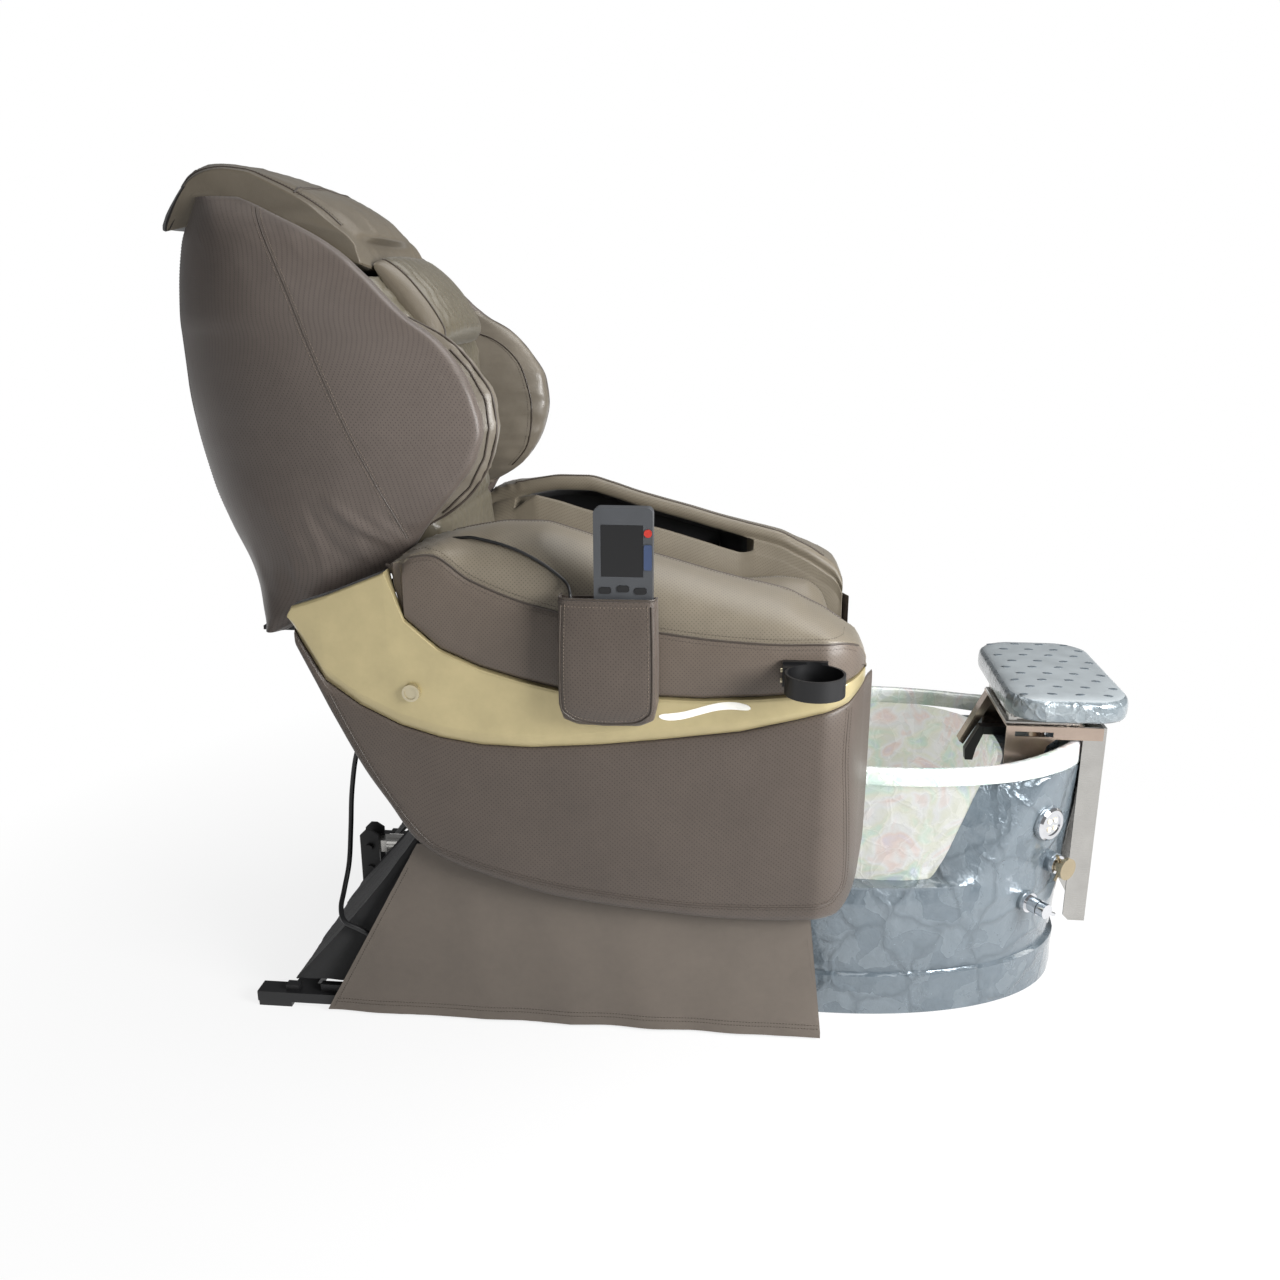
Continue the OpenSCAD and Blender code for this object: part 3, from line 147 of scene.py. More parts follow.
def noise(p: Array, size: float, seed: int = 0, octaves: int = 3) -> Array:
    """Smooth random value, about -1 to 1, that depends only on place and seed.

    Args:
        p: Points, one row each.
        size: Width of the largest lumps, in the points' unit.
        seed: Which pattern.
        octaves: How many finer layers are added.

    Returns:
        One value for each point.
    """
    total, weight = np.zeros(len(p)), 0.0
    for octave in range(octaves):
        q = p / size * 2**octave + seed * 17.31 + octave * 9.17
        cell = np.floor(q).astype(np.int64)
        f = q - cell
        f = f * f * (3 - 2 * f)
        value = np.zeros(len(p))
        for corner in range(8):
            o = np.array([corner & 1, corner >> 1 & 1, corner >> 2])
            c = cell + o
            n = (c[:, 0] * 374761393 + c[:, 1] * 668265263 + c[:, 2] * 1274126177) & 0xFFFFFFFF
            n = ((n ^ (n >> 13)) * 1103515245) & 0xFFFFFFFF
            n ^= n >> 16
            share = np.prod(np.where(o, f, 1 - f), axis=1)
            value += share * ((n % 65536) / 32768 - 1)
        total += value * 0.5**octave
        weight += 0.5**octave
    return total / weight


def creases(p: Array, size: float, seed: int = 0, stretch: Point = (1, 1, 1), sharp: float = 3.0) -> Array:
    """Thin raised creases, 0 to 1, where a smooth random value changes sign."""
    q = p * np.array(stretch)
    warp = np.stack([noise(q, size * 1.7, seed + k, 2) for k in (5, 6, 7)], axis=1)
    return (1 - np.abs(noise(q + warp * size * 0.35, size, seed, 2))) ** (sharp * 3)


def rounded(rings: Array, times: int = 2) -> Array:
    """Cuts the corners of closed rings, which doubles their points each time."""
    for _ in range(times):
        ahead = np.roll(rings, -1, axis=1)
        pair = np.stack([0.75 * rings + 0.25 * ahead, 0.25 * rings + 0.75 * ahead], axis=2)
        rings = pair.reshape(len(rings), -1, 3)
    return rings


def spread(places: Sequence[float], gap: float) -> Array:
    """The places, with others between them no further than gap apart."""
    out = [places[0]]
    for a, b in zip(places, places[1:]):
        n = max(1, math.ceil(abs(b - a) / gap))
        out += [a + (b - a) * k / n for k in range(1, n + 1)]
    return np.array(out)


# ---------------------------------------------------------------- meshes


def shaded(mesh: Mesh, angle: float = 50) -> None:
    """Smooth shading, apart from edges sharper than the angle in degrees."""
    mesh.polygons.foreach_set("use_smooth", [True] * len(mesh.polygons))
    mesh.set_sharp_from_angle(angle=math.radians(angle))


def new_piece(name: str, mesh: Mesh,
              material: Optional[Material] = None) -> Object:
    """Object at the origin that holds the mesh."""
    piece = bpy.data.objects.new(name, mesh)
    bpy.context.scene.collection.objects.link(piece)
    if material:
        mesh.materials.append(material)
    return piece


def dress(piece: Object, body: str, node: str) -> Object:
    """Rides a piece on a body in place of a frame node.

    Args:
        piece: The piece.
        body: The body that it moves with.
        node: The frame node that it stands for.

    Returns:
        The piece.
    """
    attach(piece, body)
    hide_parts(node)
    return piece


def mesh_of(name: str, points: Array, faces: list, uv: Optional[Array] = None) -> Mesh:
    """Mesh with outward faces, from points in millimetres.

    Args:
        name: The mesh's name.
        points: One row for each vertex.
        faces: Lists of vertex numbers.
        uv: One row for each face corner, in metres, or None.

    Returns:
        The mesh.
    """
    mesh = bpy.data.meshes.new(name)
    mesh.from_pydata((points * MM).tolist(), [], faces)
    if uv is not None:
        layer = mesh.uv_layers.new(name="UVMap")
        layer.data.foreach_set("uv", (uv * MM).ravel())
    work = bmesh.new()
    work.from_mesh(mesh)
    bmesh.ops.recalc_face_normals(work, faces=work.faces)
    work.to_mesh(mesh)
    work.free()
    shaded(mesh)
    return mesh


def lengths(rings: Array) -> tuple[Array, Array]:
    """Distance round each ring to each of its points, and distance along the skin to each ring."""
    around = np.linalg.norm(np.roll(rings, -1, axis=1) - rings, axis=2)
    u = np.concatenate([np.zeros((len(rings), 1)), np.cumsum(around, axis=1)], axis=1)
    along = np.linalg.norm(np.diff(rings, axis=0), axis=2).mean(axis=1)
    return u, np.concatenate([[0], np.cumsum(along)])


def bands(rings: Array, looped: bool = False) -> tuple[list, list]:
    """Four-sided faces between each ring and the next, and a map corner for each of their corners."""
    count, size = rings.shape[:2]
    u, v = lengths(rings)
    faces, uv = [], []
    for k in range(count if looped else count - 1):
        n = (k + 1) % count
        top = v[k] + LAST_BAND if n == 0 else v[n]
        for i in range(size):
            j = (i + 1) % size
            faces.append([k * size + i, k * size + j, n * size + j, n * size + i])
            uv += [(u[k, i], v[k]), (u[k, i + 1], v[k]), (u[n, i + 1], top), (u[n, i], top)]
    return faces, uv


def loft(name: str, rings: Array, looped: bool = False, swell: float = 0.0) -> Mesh:
    """Closed skin through rings of equal length.

    Args:
        name: The mesh's name.
        rings: Stations, ring points and coordinates, in millimetres.
        looped: Whether the last ring joins the first.
        swell: How far each end bulges out, in millimetres.

    Returns:
        The mesh, with a UV map in metres along and round the skin.
    """
    if swell and not looped:
        head, tail = [], []
        for end, store, other in ((rings[0], head, rings[1]), (rings[-1], tail, rings[-2])):
            centre = end.mean(axis=0)
            out = centre - other.mean(axis=0)
            out /= np.linalg.norm(out)
            reach = np.linalg.norm(end - centre, axis=1).min() * 0.9
            for k in range(1, 6):
                a = math.radians(18 * k)
                share = (1 - math.cos(a)) * min(swell * 1.6, reach)
                direction = (centre - end) / np.linalg.norm(centre - end, axis=1)[:, None]
                store.append(end + direction * share + out * swell * math.sin(a))
        rings = np.concatenate([np.array(head[::-1]), rings, np.array(tail)])
    count, size = rings.shape[:2]
    points = rings.reshape(-1, 3)
    u, v = lengths(rings)
    faces, uv = bands(rings, looped)
    if not looped:
        for k in (0, count - 1):
            middle = len(points)
            points = np.vstack([points, rings[k].mean(axis=0)])
            for i in range(size):
                faces.append([k * size + i, k * size + (i + 1) % size, middle])
                uv += [(u[k, i], v[k]), (u[k, i + 1], v[k]), (u[k, i], v[k])]
    return mesh_of(name, points, faces, np.array(uv))


def capped_flat(name: str, rings: Array) -> Mesh:
    """Skin through rings whose end faces aren't star shaped, such as a shell's."""
    count, size = rings.shape[:2]
    faces, uv = bands(rings)
    half = size // 2
    for k in (0, count - 1):
        for i in range(half - 1):
            faces.append([k * size + i, k * size + i + 1, k * size + size - 2 - i, k * size + size - 1 - i])
            uv += [(0, 0)] * 4
    return mesh_of(name, rings.reshape(-1, 3), faces, np.array(uv))


def tube(name: str, path: Array, radius: float, sides: int = 10) -> Mesh:
    """Round tube along a path, in millimetres, with a UV map round and along it."""
    ahead = np.gradient(path, axis=0)
    ahead /= np.linalg.norm(ahead, axis=1)[:, None]
    side = np.cross(ahead[0], [0.31, 0.22, 0.92])
    rings = []
    for p, d in zip(path, ahead):
        side = side - d * (side @ d)
        side /= np.linalg.norm(side)
        up = np.cross(d, side)
        a = np.arange(sides) * 2 * math.pi / sides
        rings.append(p + radius * (np.cos(a)[:, None] * side + np.sin(a)[:, None] * up))
    return loft(name, np.array(rings))


def catmull(route: Rows, per: int) -> Array:
    """Smooth path through a route's points, with per steps between each pair."""
    p = np.asarray(route, float)
    out = []
    for i in range(len(p) - 1):
        a, b, c, d = p[max(i - 1, 0)], p[i], p[i + 1], p[min(i + 2, len(p) - 1)]
        for k in range(per):
            t = k / per
            out.append(
                0.5 * (2 * b + (c - a) * t + (2 * a - 5 * b + 4 * c - d) * t**2
                       + (3 * b - a - 3 * c + d) * t**3)
            )
    return np.array(out + [p[-1]])


def shift(mesh: Mesh, rule: Callable[[Array, Array], Array]) -> None:
    """Moves each vertex along its normal.

    Args:
        mesh: The mesh to change.
        rule: Takes points and normals in millimetres, and returns the distances.
    """
    n = len(mesh.vertices)
    co, no = np.zeros(n * 3, np.float32), np.zeros(n * 3, np.float32)
    mesh.vertices.foreach_get("co", co)
    mesh.vertex_normals.foreach_get("vector", no)
    co, no = co.reshape(-1, 3).astype(float), no.reshape(-1, 3).astype(float)
    co += no * (rule(co / MM, no) * MM)[:, None]
    mesh.vertices.foreach_set("co", co.astype(np.float32).ravel())
    mesh.update()


def paint(mesh: Mesh, material: Material,
          where: Callable[[Array, Array], Array]) -> None:
    """Gives the faces that a rule picks another material.

    Args:
        mesh: The mesh.
        material: What they get.
        where: Takes face centres in millimetres and face normals, and returns a mask.
    """
    mesh.materials.append(material)
    index = len(mesh.materials) - 1
    centres = np.array([f.center for f in mesh.polygons]) / MM
    normals = np.array([f.normal for f in mesh.polygons])
    chosen = where(centres, normals)
    old = np.zeros(len(mesh.polygons), np.int32)
    mesh.polygons.foreach_get("material_index", old)
    mesh.polygons.foreach_set("material_index", np.where(chosen, index, old).astype(np.int32))


def joined(name: str, meshes: Sequence[Mesh]) -> Mesh:
    """One mesh out of several, each with its own first material kept."""
    work = bmesh.new()
    out = bpy.data.meshes.new(name)
    for k, mesh in enumerate(meshes):
        before = len(work.faces)
        work.from_mesh(mesh)
        work.faces.ensure_lookup_table()
        for face in work.faces[before:]:
            face.material_index = k
        out.materials.append(mesh.materials[0] if mesh.materials else None)
    work.to_mesh(out)
    work.free()
    shaded(out)
    return out


def cast(piece: Object, starts: Array, way: Point, lift: float = 0.0) -> Array:
    """Lands points on a piece's surface.

    Args:
        piece: The piece.
        starts: Points in millimetres, away from the surface.
        way: Direction to look in.
        lift: Height above the surface, in millimetres.

    Returns:
        The points that landed, in millimetres.
    """
    tree = BVHTree.FromObject(piece, bpy.context.evaluated_depsgraph_get())
    direction = Vector(way).normalized()
    out = []
    for p in starts:
        place, normal, _, _ = tree.ray_cast(Vector(p) * MM, direction)
        if place is not None:
            out.append(np.array(place + normal * (lift * MM)) / MM)
    return np.array(out)


def from_side(piece: Object, outline: Rows, side: Side, lift: float = 0.0,
              gap: float = 5.0) -> Array:
    """Lands an outline in X and Z on a piece's outer side."""
    path = resample(np.asarray(outline, float), gap)
    starts = np.column_stack([path[:, 0], np.full(len(path), side.value * BESIDE_CHAIR), path[:, 1]])
    return cast(piece, starts, (0, -side.value, 0), lift)


def resample(path: Array, gap: float) -> Array:
    """Points no further than gap apart along a path, its corners softened."""
    p = catmull(path, 8)
    d = np.concatenate([[0], np.cumsum(np.linalg.norm(np.diff(p, axis=0), axis=1))])
    n = max(2, int(d[-1] / gap) + 1)
    return np.column_stack([np.interp(np.linspace(0, d[-1], n), d, p[:, k]) for k in range(p.shape[1])])


def beside(outline: Rows, gap: float) -> Array:
    """The outline, moved sideways in its own plane."""
    p = np.asarray(outline, float)
    d = np.gradient(p, axis=0)
    d /= np.linalg.norm(d, axis=1)[:, None]
    return p + gap * np.column_stack([-d[:, 1], d[:, 0]])


# ---------------------------------------------------------------- node trees


class Graph:
    """Short way to add and join the nodes of a shader or geometry tree."""

    def __init__(self, tree: Tree) -> None:
        """Keeps the node tree that nodes are added to."""
        self.tree = tree

    def link(self, value: Socket, socket: Socket) -> None:
        """Joins an output to an input."""
        self.tree.links.new(value, socket)

    def feed(self, node: Node, inputs: dict) -> Node:
        """Gives each named or numbered input of a node its value or socket."""
        for key, value in inputs.items():
            if isinstance(value, Socket):
                self.link(value, node.inputs[key])
            else:
                node.inputs[key].default_value = value
        return node

    def add(self, kind: str, inputs: Optional[dict] = None, **settings: object) -> Node:
        """Adds one node.

        Args:
            kind: The node's type.
            inputs: Value or socket for each named or numbered input.
            settings: Properties of the node.

        Returns:
            The node.
        """
        node = self.tree.nodes.new(kind)
        for key, value in settings.items():
            setattr(node, key, value)
        return self.feed(node, inputs or {})

    def place(self) -> Socket:
        """Adds the piece's own coordinates."""
        return self.add("ShaderNodeTexCoord").outputs["Object"]

    def noise(self, place: Socket, scale: float, detail: float,
              **more: float) -> Node:
        """Adds a Noise Texture, with any further inputs by name."""
        return self.add("ShaderNodeTexNoise", {"Vector": place, "Scale": scale, "Detail": detail, **more})

    def vary(self, value: Socket, middle: float, by: float) -> Socket:
        """Adds a number that varies about its middle with a value from 0 to 1."""
        return self.math("ADD", self.math("MULTIPLY", value, by), middle - by / 2)

    def math(self, operation: str, a: object, b: object = 0.0, clamp: bool = False) -> Socket:
        """Adds a Math node and returns its result."""
        return self.add("ShaderNodeMath", {0: a, 1: b}, operation=operation, use_clamp=clamp).outputs[0]

    def ramp(self, value: Socket,
             stops: Sequence[tuple[float, Point]]) -> Socket:
        """Adds a Color Ramp through stops of place and colour, and returns its colour."""
        node = self.add("ShaderNodeValToRGB", {0: value})
        for k, (place, colour) in enumerate(stops):
            stop = node.color_ramp.elements[k] if k < 2 else node.color_ramp.elements.new(place)
            stop.position, stop.color = place, (*colour[:3], 1)
        return node.outputs["Color"]

    def blend(self, share: object, a: object, b: object, way: str = "MIX") -> Socket:
        """Adds a colour mix and returns its result."""
        node = self.add("ShaderNodeMix", data_type="RGBA", blend_type=way)
        for key, value in ((0, share), (6, a), (7, b)):
            if isinstance(value, Socket):
                self.link(value, node.inputs[key])
            else:
                node.inputs[key].default_value = value if key == 0 else (*value[:3], 1)
        return node.outputs[2]


def shader_group(name: str, ins: dict[str, float], outs: Sequence[str]) -> tuple:
    """Empty shader group whose inputs and outputs are numbers.

    Args:
        name: The group's name.
        ins: Usual value of each named input.
        outs: Name of each output.

    Returns:
        The group, its graph, its input sockets and its output sockets.
    """
    tree = bpy.data.node_groups.new(name, "ShaderNodeTree")
    kind = "NodeSocketFloat"
    for label, value in ins.items():
        tree.interface.new_socket(label, in_out="INPUT", socket_type=kind).default_value = value
    for label in outs:
        tree.interface.new_socket(label, in_out="OUTPUT", socket_type=kind)
    graph = Graph(tree)
    return tree, graph, graph.add("NodeGroupInput").outputs, graph.add("NodeGroupOutput").inputs


def grain_group() -> Tree:
    """Leather: small pebbles, fine creases and a slow change of tone."""
    tree, g, i, o = shader_group("LeatherGrain", {"Size": 0.0016}, ("Height", "Tone"))
    place = g.place()
    scale = g.math("DIVIDE", 1.0, i["Size"])
    pebble = g.add("ShaderNodeTexVoronoi", {"Vector": place, "Scale": scale}, feature="DISTANCE_TO_EDGE")
    slow = g.noise(place, 7.0, 4.0, Roughness=0.6)
    fine = g.noise(place, 90.0, 3.0)
    edge = g.math("MINIMUM", g.math("MULTIPLY", pebble.outputs["Distance"], 5.0), 1.0)
    g.link(g.math("ADD", edge, g.math("MULTIPLY", fine.outputs[0], 0.8)), o["Height"])
    tone = g.math("ADD", g.math("MULTIPLY", slow.outputs[0], 0.75),
                  g.math("MULTIPLY", fine.outputs[0], 0.25))
    g.link(tone, o["Tone"])
    return tree


def holes_group() -> Tree:
    """Perforation: staggered rows of small round holes on the UV map, 1 inside a hole."""
    tree, g, i, o = shader_group("Perforation", {"Pitch": 0.0055, "Radius": 0.0011}, ("Mask",))
    uv = g.add("ShaderNodeUVMap", uv_map="UVMap").outputs[0]
    parts = g.add("ShaderNodeSeparateXYZ", {0: uv}).outputs
    a = g.math("DIVIDE", g.math("ADD", parts[0], parts[1]), i["Pitch"])
    b = g.math("DIVIDE", g.math("SUBTRACT", parts[0], parts[1]), i["Pitch"])
    fa = g.math("SUBTRACT", g.math("FRACT", a), 0.5)
    fb = g.math("SUBTRACT", g.math("FRACT", b), 0.5)
    away = g.math("SQRT", g.math("ADD", g.math("MULTIPLY", fa, fa), g.math("MULTIPLY", fb, fb)))
    rim = g.math("DIVIDE", i["Radius"], i["Pitch"])
    soft = g.math("DIVIDE", g.math("SUBTRACT", rim, away), g.math("MULTIPLY", rim, 0.4))
    g.link(g.math("ADD", soft, 0.5, clamp=True), o["Mask"])
    return tree


def foil_group() -> Tree:
    """Crumpled foil under clear gloss: flat facets that meet in thin creases, whose mask marks where a Foil
    finish paints light along them.
    """
    tree, g, i, o = shader_group("CrumpledFoil", {"Size": 0.05}, ("Height", "Facet", "Crease"))
    place = g.place()
    warp = g.noise(place, 16.0, 3.0)
    bent = g.add("ShaderNodeMix", {0: 0.05, 4: place, 5: warp.outputs["Color"]},
                 data_type="VECTOR").outputs[1]
    scale = g.math("DIVIDE", 1.0, i["Size"])
    edges = g.add("ShaderNodeTexVoronoi", {"Vector": bent, "Scale": scale}, feature="DISTANCE_TO_EDGE")
    closer = g.math("MULTIPLY", scale, 2.3)
    facets = g.add("ShaderNodeTexVoronoi", {"Vector": bent, "Scale": closer}, feature="F1")
    small = g.noise(bent, 60.0, 4.0, Roughness=0.65)
    line = g.math("SUBTRACT", 1.0, g.math("MULTIPLY", edges.outputs["Distance"], 14.0, clamp=True))
    height = g.math("ADD", g.math("MULTIPLY", line, 0.6),
                    g.math("MULTIPLY", facets.outputs["Distance"], 0.9))
    g.link(g.math("ADD", height, g.math("MULTIPLY", small.outputs[0], 0.8)), o["Height"])
    tone = g.add("ShaderNodeSeparateColor", {0: facets.outputs["Color"]}).outputs[0]
    facet = g.math("ADD", g.math("MULTIPLY", tone, 0.45), g.math("MULTIPLY", small.outputs[0], 0.55))
    g.link(facet, o["Facet"])
    g.link(line, o["Crease"])
    return tree


def weave_group() -> Tree:
    """Woven cloth: two crossed sets of threads."""
    tree, g, i, o = shader_group("Weave", {"Thread": 0.0012}, ("Height",))
    place = g.place()
    scale = g.math("DIVIDE", 0.3, i["Thread"])
    sizes = {"Vector": place, "Scale": scale, "Distortion": 0.4}
    rows = g.add("ShaderNodeTexWave", sizes, bands_direction="Z")
    files = g.add("ShaderNodeTexWave", sizes, bands_direction="Y")
    g.link(g.math("MAXIMUM", rows.outputs["Fac"], files.outputs["Fac"]), o["Height"])
    return tree


def brushed_group() -> Tree:
    """Brushed metal: fine lines along X, and faint smears."""
    tree, g, i, o = shader_group("BrushedLines", {"Strength": 0.12}, ("Height", "Roughness"))
    place = g.place()
    lines = g.add("ShaderNodeMapping", {"Vector": place, "Scale": (6.0, 900.0, 900.0)}).outputs[0]
    fine = g.noise(lines, 1.0, 3.0)
    smear = g.noise(place, 14.0, 3.0)
    rough = g.math("MULTIPLY", g.math("ADD", fine.outputs[0], smear.outputs[0]), i["Strength"])
    g.link(fine.outputs[0], o["Height"])
    g.link(g.math("ADD", rough, 0.16), o["Roughness"])
    return tree


GROUPS: dict[str, Tree] = {}


def group(name: str) -> Tree:
    """The shared shader group of that name, built the first time."""
    makers = {"grain": grain_group, "holes": holes_group, "foil": foil_group, "weave": weave_group,
              "brushed": brushed_group}
    if name not in GROUPS:
        GROUPS[name] = makers[name]()
    return GROUPS[name]


def srgb(red: float, green: float, blue: float) -> Point:
    """Colour on a 0 to 255 scale as the linear values that shaders take."""
    return tuple(((c / 255 + 0.055) / 1.055) ** 2.4 if c > 10 else c / 255 / 12.92
                 for c in (red, green, blue))


def darker(colour: Point, share: float) -> Point:
    """The colour times a share."""
    return tuple(c * share for c in colour)


# ---------------------------------------------------------------- finishes


@dataclass(frozen=True)
class Leather:
    """Soft coated leather, plain or perforated."""

    name: str
    colour: Point
    roughness: float = 0.46
    perforated: bool = False
    grain: float = 0.0016
    depth: float = 0.25
    pitch: float = 0.0055
    sheen: float = 0.12

    def build(self) -> Material:
        """Makes the material."""
        material, g, shader = principled(self.name)
        grain = g.add("ShaderNodeGroup", {"Size": self.grain}, node_tree=group("grain"))
        tone = g.ramp(grain.outputs["Tone"],
                      [(0.25, darker(self.colour, 0.84)), (0.75, darker(self.colour, 1.14))])
        height = g.math("MULTIPLY", grain.outputs["Height"], 0.35)
        if self.perforated:
            sizes = {"Pitch": self.pitch, "Radius": self.pitch * 0.19}
            mask = g.add("ShaderNodeGroup", sizes, node_tree=group("holes")).outputs["Mask"]
            # painted shade: each hole is darkened towards a fifth of the leather's colour
            tone = g.blend(g.math("MULTIPLY", mask, 0.56), tone, darker(self.colour, 0.2))
            height = g.math("SUBTRACT", height, g.math("MULTIPLY", mask, 1.5))
        g.feed(shader, {
            "Base Color": tone, "Roughness": g.vary(grain.outputs["Tone"], self.roughness, 0.22),
            "Specular IOR Level": 0.42, "Sheen Weight": self.sheen, "Sheen Roughness": 0.4})
        bump(g, shader, height, self.depth, 0.0006)
        return material


@dataclass(frozen=True)
class Metal:
    """Plain, brushed or coated metal."""

    name: str
    colour: Point
    roughness: float = 0.25
    metallic: float = 1.0
    brushed: float = 0.0
    coat: float = 0.0

    def build(self) -> Material:
        """Makes the material."""
        material, g, shader = principled(self.name)
        place = g.place()
        slow = g.noise(place, 18.0, 5.0, Roughness=0.6)
        tone = g.ramp(slow.outputs[0], [(0.3, darker(self.colour, 0.9)), (0.7, darker(self.colour, 1.06))])
        g.feed(shader, {
            "Base Color": tone, "Metallic": self.metallic, "Coat Weight": self.coat, "Coat Roughness": 0.08})
        if self.brushed:
            lines = g.add("ShaderNodeGroup", {"Strength": self.brushed}, node_tree=group("brushed"))
            g.link(lines.outputs["Roughness"], shader.inputs["Roughness"])
            bump(g, shader, lines.outputs["Height"], 0.05, 0.0002)
        else:
            g.link(g.vary(slow.outputs[0], self.roughness, 0.12), shader.inputs["Roughness"])
            fine = g.noise(place, 700.0, 2.0)
            bump(g, shader, fine.outputs[0], 0.04, 0.0002)
        return material


@dataclass(frozen=True)
class Plastic:
    """Moulded plastic or rubber with a fine texture."""

    name: str
    colour: Point
    roughness: float = 0.4
    texture: float = 0.06
    coat: float = 0.0
    glow: float = 0.0

    def build(self) -> Material:
        """Makes the material."""
        material, g, shader = principled(self.name)
        place = g.place()
        slow = g.noise(place, 24.0, 4.0)
        fine = g.noise(place, 1400.0, 2.0)
        tone = g.ramp(slow.outputs[0], [(0.3, darker(self.colour, 0.9)), (0.7, darker(self.colour, 1.08))])
        rough = g.vary(slow.outputs[0], self.roughness, 0.16)
        g.feed(shader, {"Base Color": tone, "Roughness": rough, "Coat Weight": self.coat})
        if self.glow:
            g.feed(shader, {"Emission Color": (*self.colour, 1), "Emission Strength": self.glow})
        bump(g, shader, fine.outputs[0], self.texture, 0.0003)
        return material


@dataclass(frozen=True)
class Foil:
    """Crumpled foil cast under a clear glossy resin, with painted light along its creases and, where set, a
    painted glow.
    """

    name: str
    dark: Point
    light: Point
    # painted light along the creases: painted shade where darker than the facets, painted highlight where
    # lighter
    crease: Point
    size: float = 0.05
    pearl: float = 0.0
    depth: float = 0.5
    metallic: float = 0.35
    edge: float = 0.5
    # painted glow: emission that brightens the foil where it lies in shade
    glow: float = 0.0

    def build(self) -> Material:
        """Makes the material."""
        material, g, shader = principled(self.name)
        foil = g.add("ShaderNodeGroup", {"Size": self.size}, node_tree=group("foil"))
        colour = g.ramp(foil.outputs["Facet"], [(0.25, self.dark), (0.75, self.light)])
        if self.pearl:
            place = g.place()
            patch = g.noise(place, 15.0, 2.0, Distortion=0.8)
            rainbow = g.ramp(
                patch.outputs[0],
                [(0.30, srgb(196, 216, 236)), (0.74, srgb(232, 214, 232)), (0.40, srgb(206, 240, 214)),
                 (0.48, srgb(238, 238, 210)), (0.56, srgb(246, 246, 246)), (0.64, srgb(246, 212, 200))],
            )
            colour = g.blend(self.pearl, colour, rainbow)
        # painted light on the creases: painted shade on the basin, painted highlights on the bowl, rim and
        # pad side
        colour = g.blend(g.math("MULTIPLY", foil.outputs["Crease"], self.edge), colour, self.crease)
        # painted glow: emission lifts the foil out of the shade it lies in, and the base colour is dimmed to
        # suit
        if self.glow:
            g.feed(shader, {"Emission Color": colour, "Emission Strength": self.glow})
            colour = g.blend(0.85, colour, srgb(48, 50, 50))
        g.feed(shader, {
            "Base Color": colour, "Metallic": self.metallic,
            "Roughness": g.vary(foil.outputs["Facet"], 0.26, 0.24),
            "Coat Weight": 0.8, "Coat Roughness": 0.06})
        bump(g, shader, foil.outputs["Height"], self.depth, 0.004)
        return material


@dataclass(frozen=True)
class Cloth:
    """Dull woven cloth."""

    name: str
    colour: Point
    thread: float = 0.0012
    roughness: float = 0.85

    def build(self) -> Material:
        """Makes the material."""
        material, g, shader = principled(self.name)
        place = g.place()
        slow = g.noise(place, 9.0, 5.0)
        weave = g.add("ShaderNodeGroup", {"Thread": self.thread}, node_tree=group("weave"))
        tone = g.ramp(slow.outputs[0], [(0.3, darker(self.colour, 0.8)), (0.7, darker(self.colour, 1.2))])
        rough = g.vary(slow.outputs[0], self.roughness, 0.1)
        g.feed(shader, {"Base Color": tone, "Roughness": rough, "Sheen Weight": 0.15})
        bump(g, shader, weave.outputs["Height"], 0.3, 0.0004)
        return material


def principled(name: str) -> tuple[Material, Graph, Node]:
    """New material, its graph and its Principled shader."""
    material = bpy.data.materials.new(name)
    material.use_nodes = True
    shader = next(n for n in material.node_tree.nodes if n.type == "BSDF_PRINCIPLED")
    return material, Graph(material.node_tree), shader


def bump(g: Graph, shader: Node, height: Socket, strength: float,
         reach: float) -> None:
    """Feeds a height to the shader's normal."""
    node = g.add("ShaderNodeBump", {"Strength": strength, "Distance": reach, "Height": height})
    g.link(node.outputs[0], shader.inputs["Normal"])


SHELL_BROWN = srgb(94, 85, 79)
OLIVE = srgb(112, 104, 90)
HOOD_OLIVE = srgb(98, 90, 77)

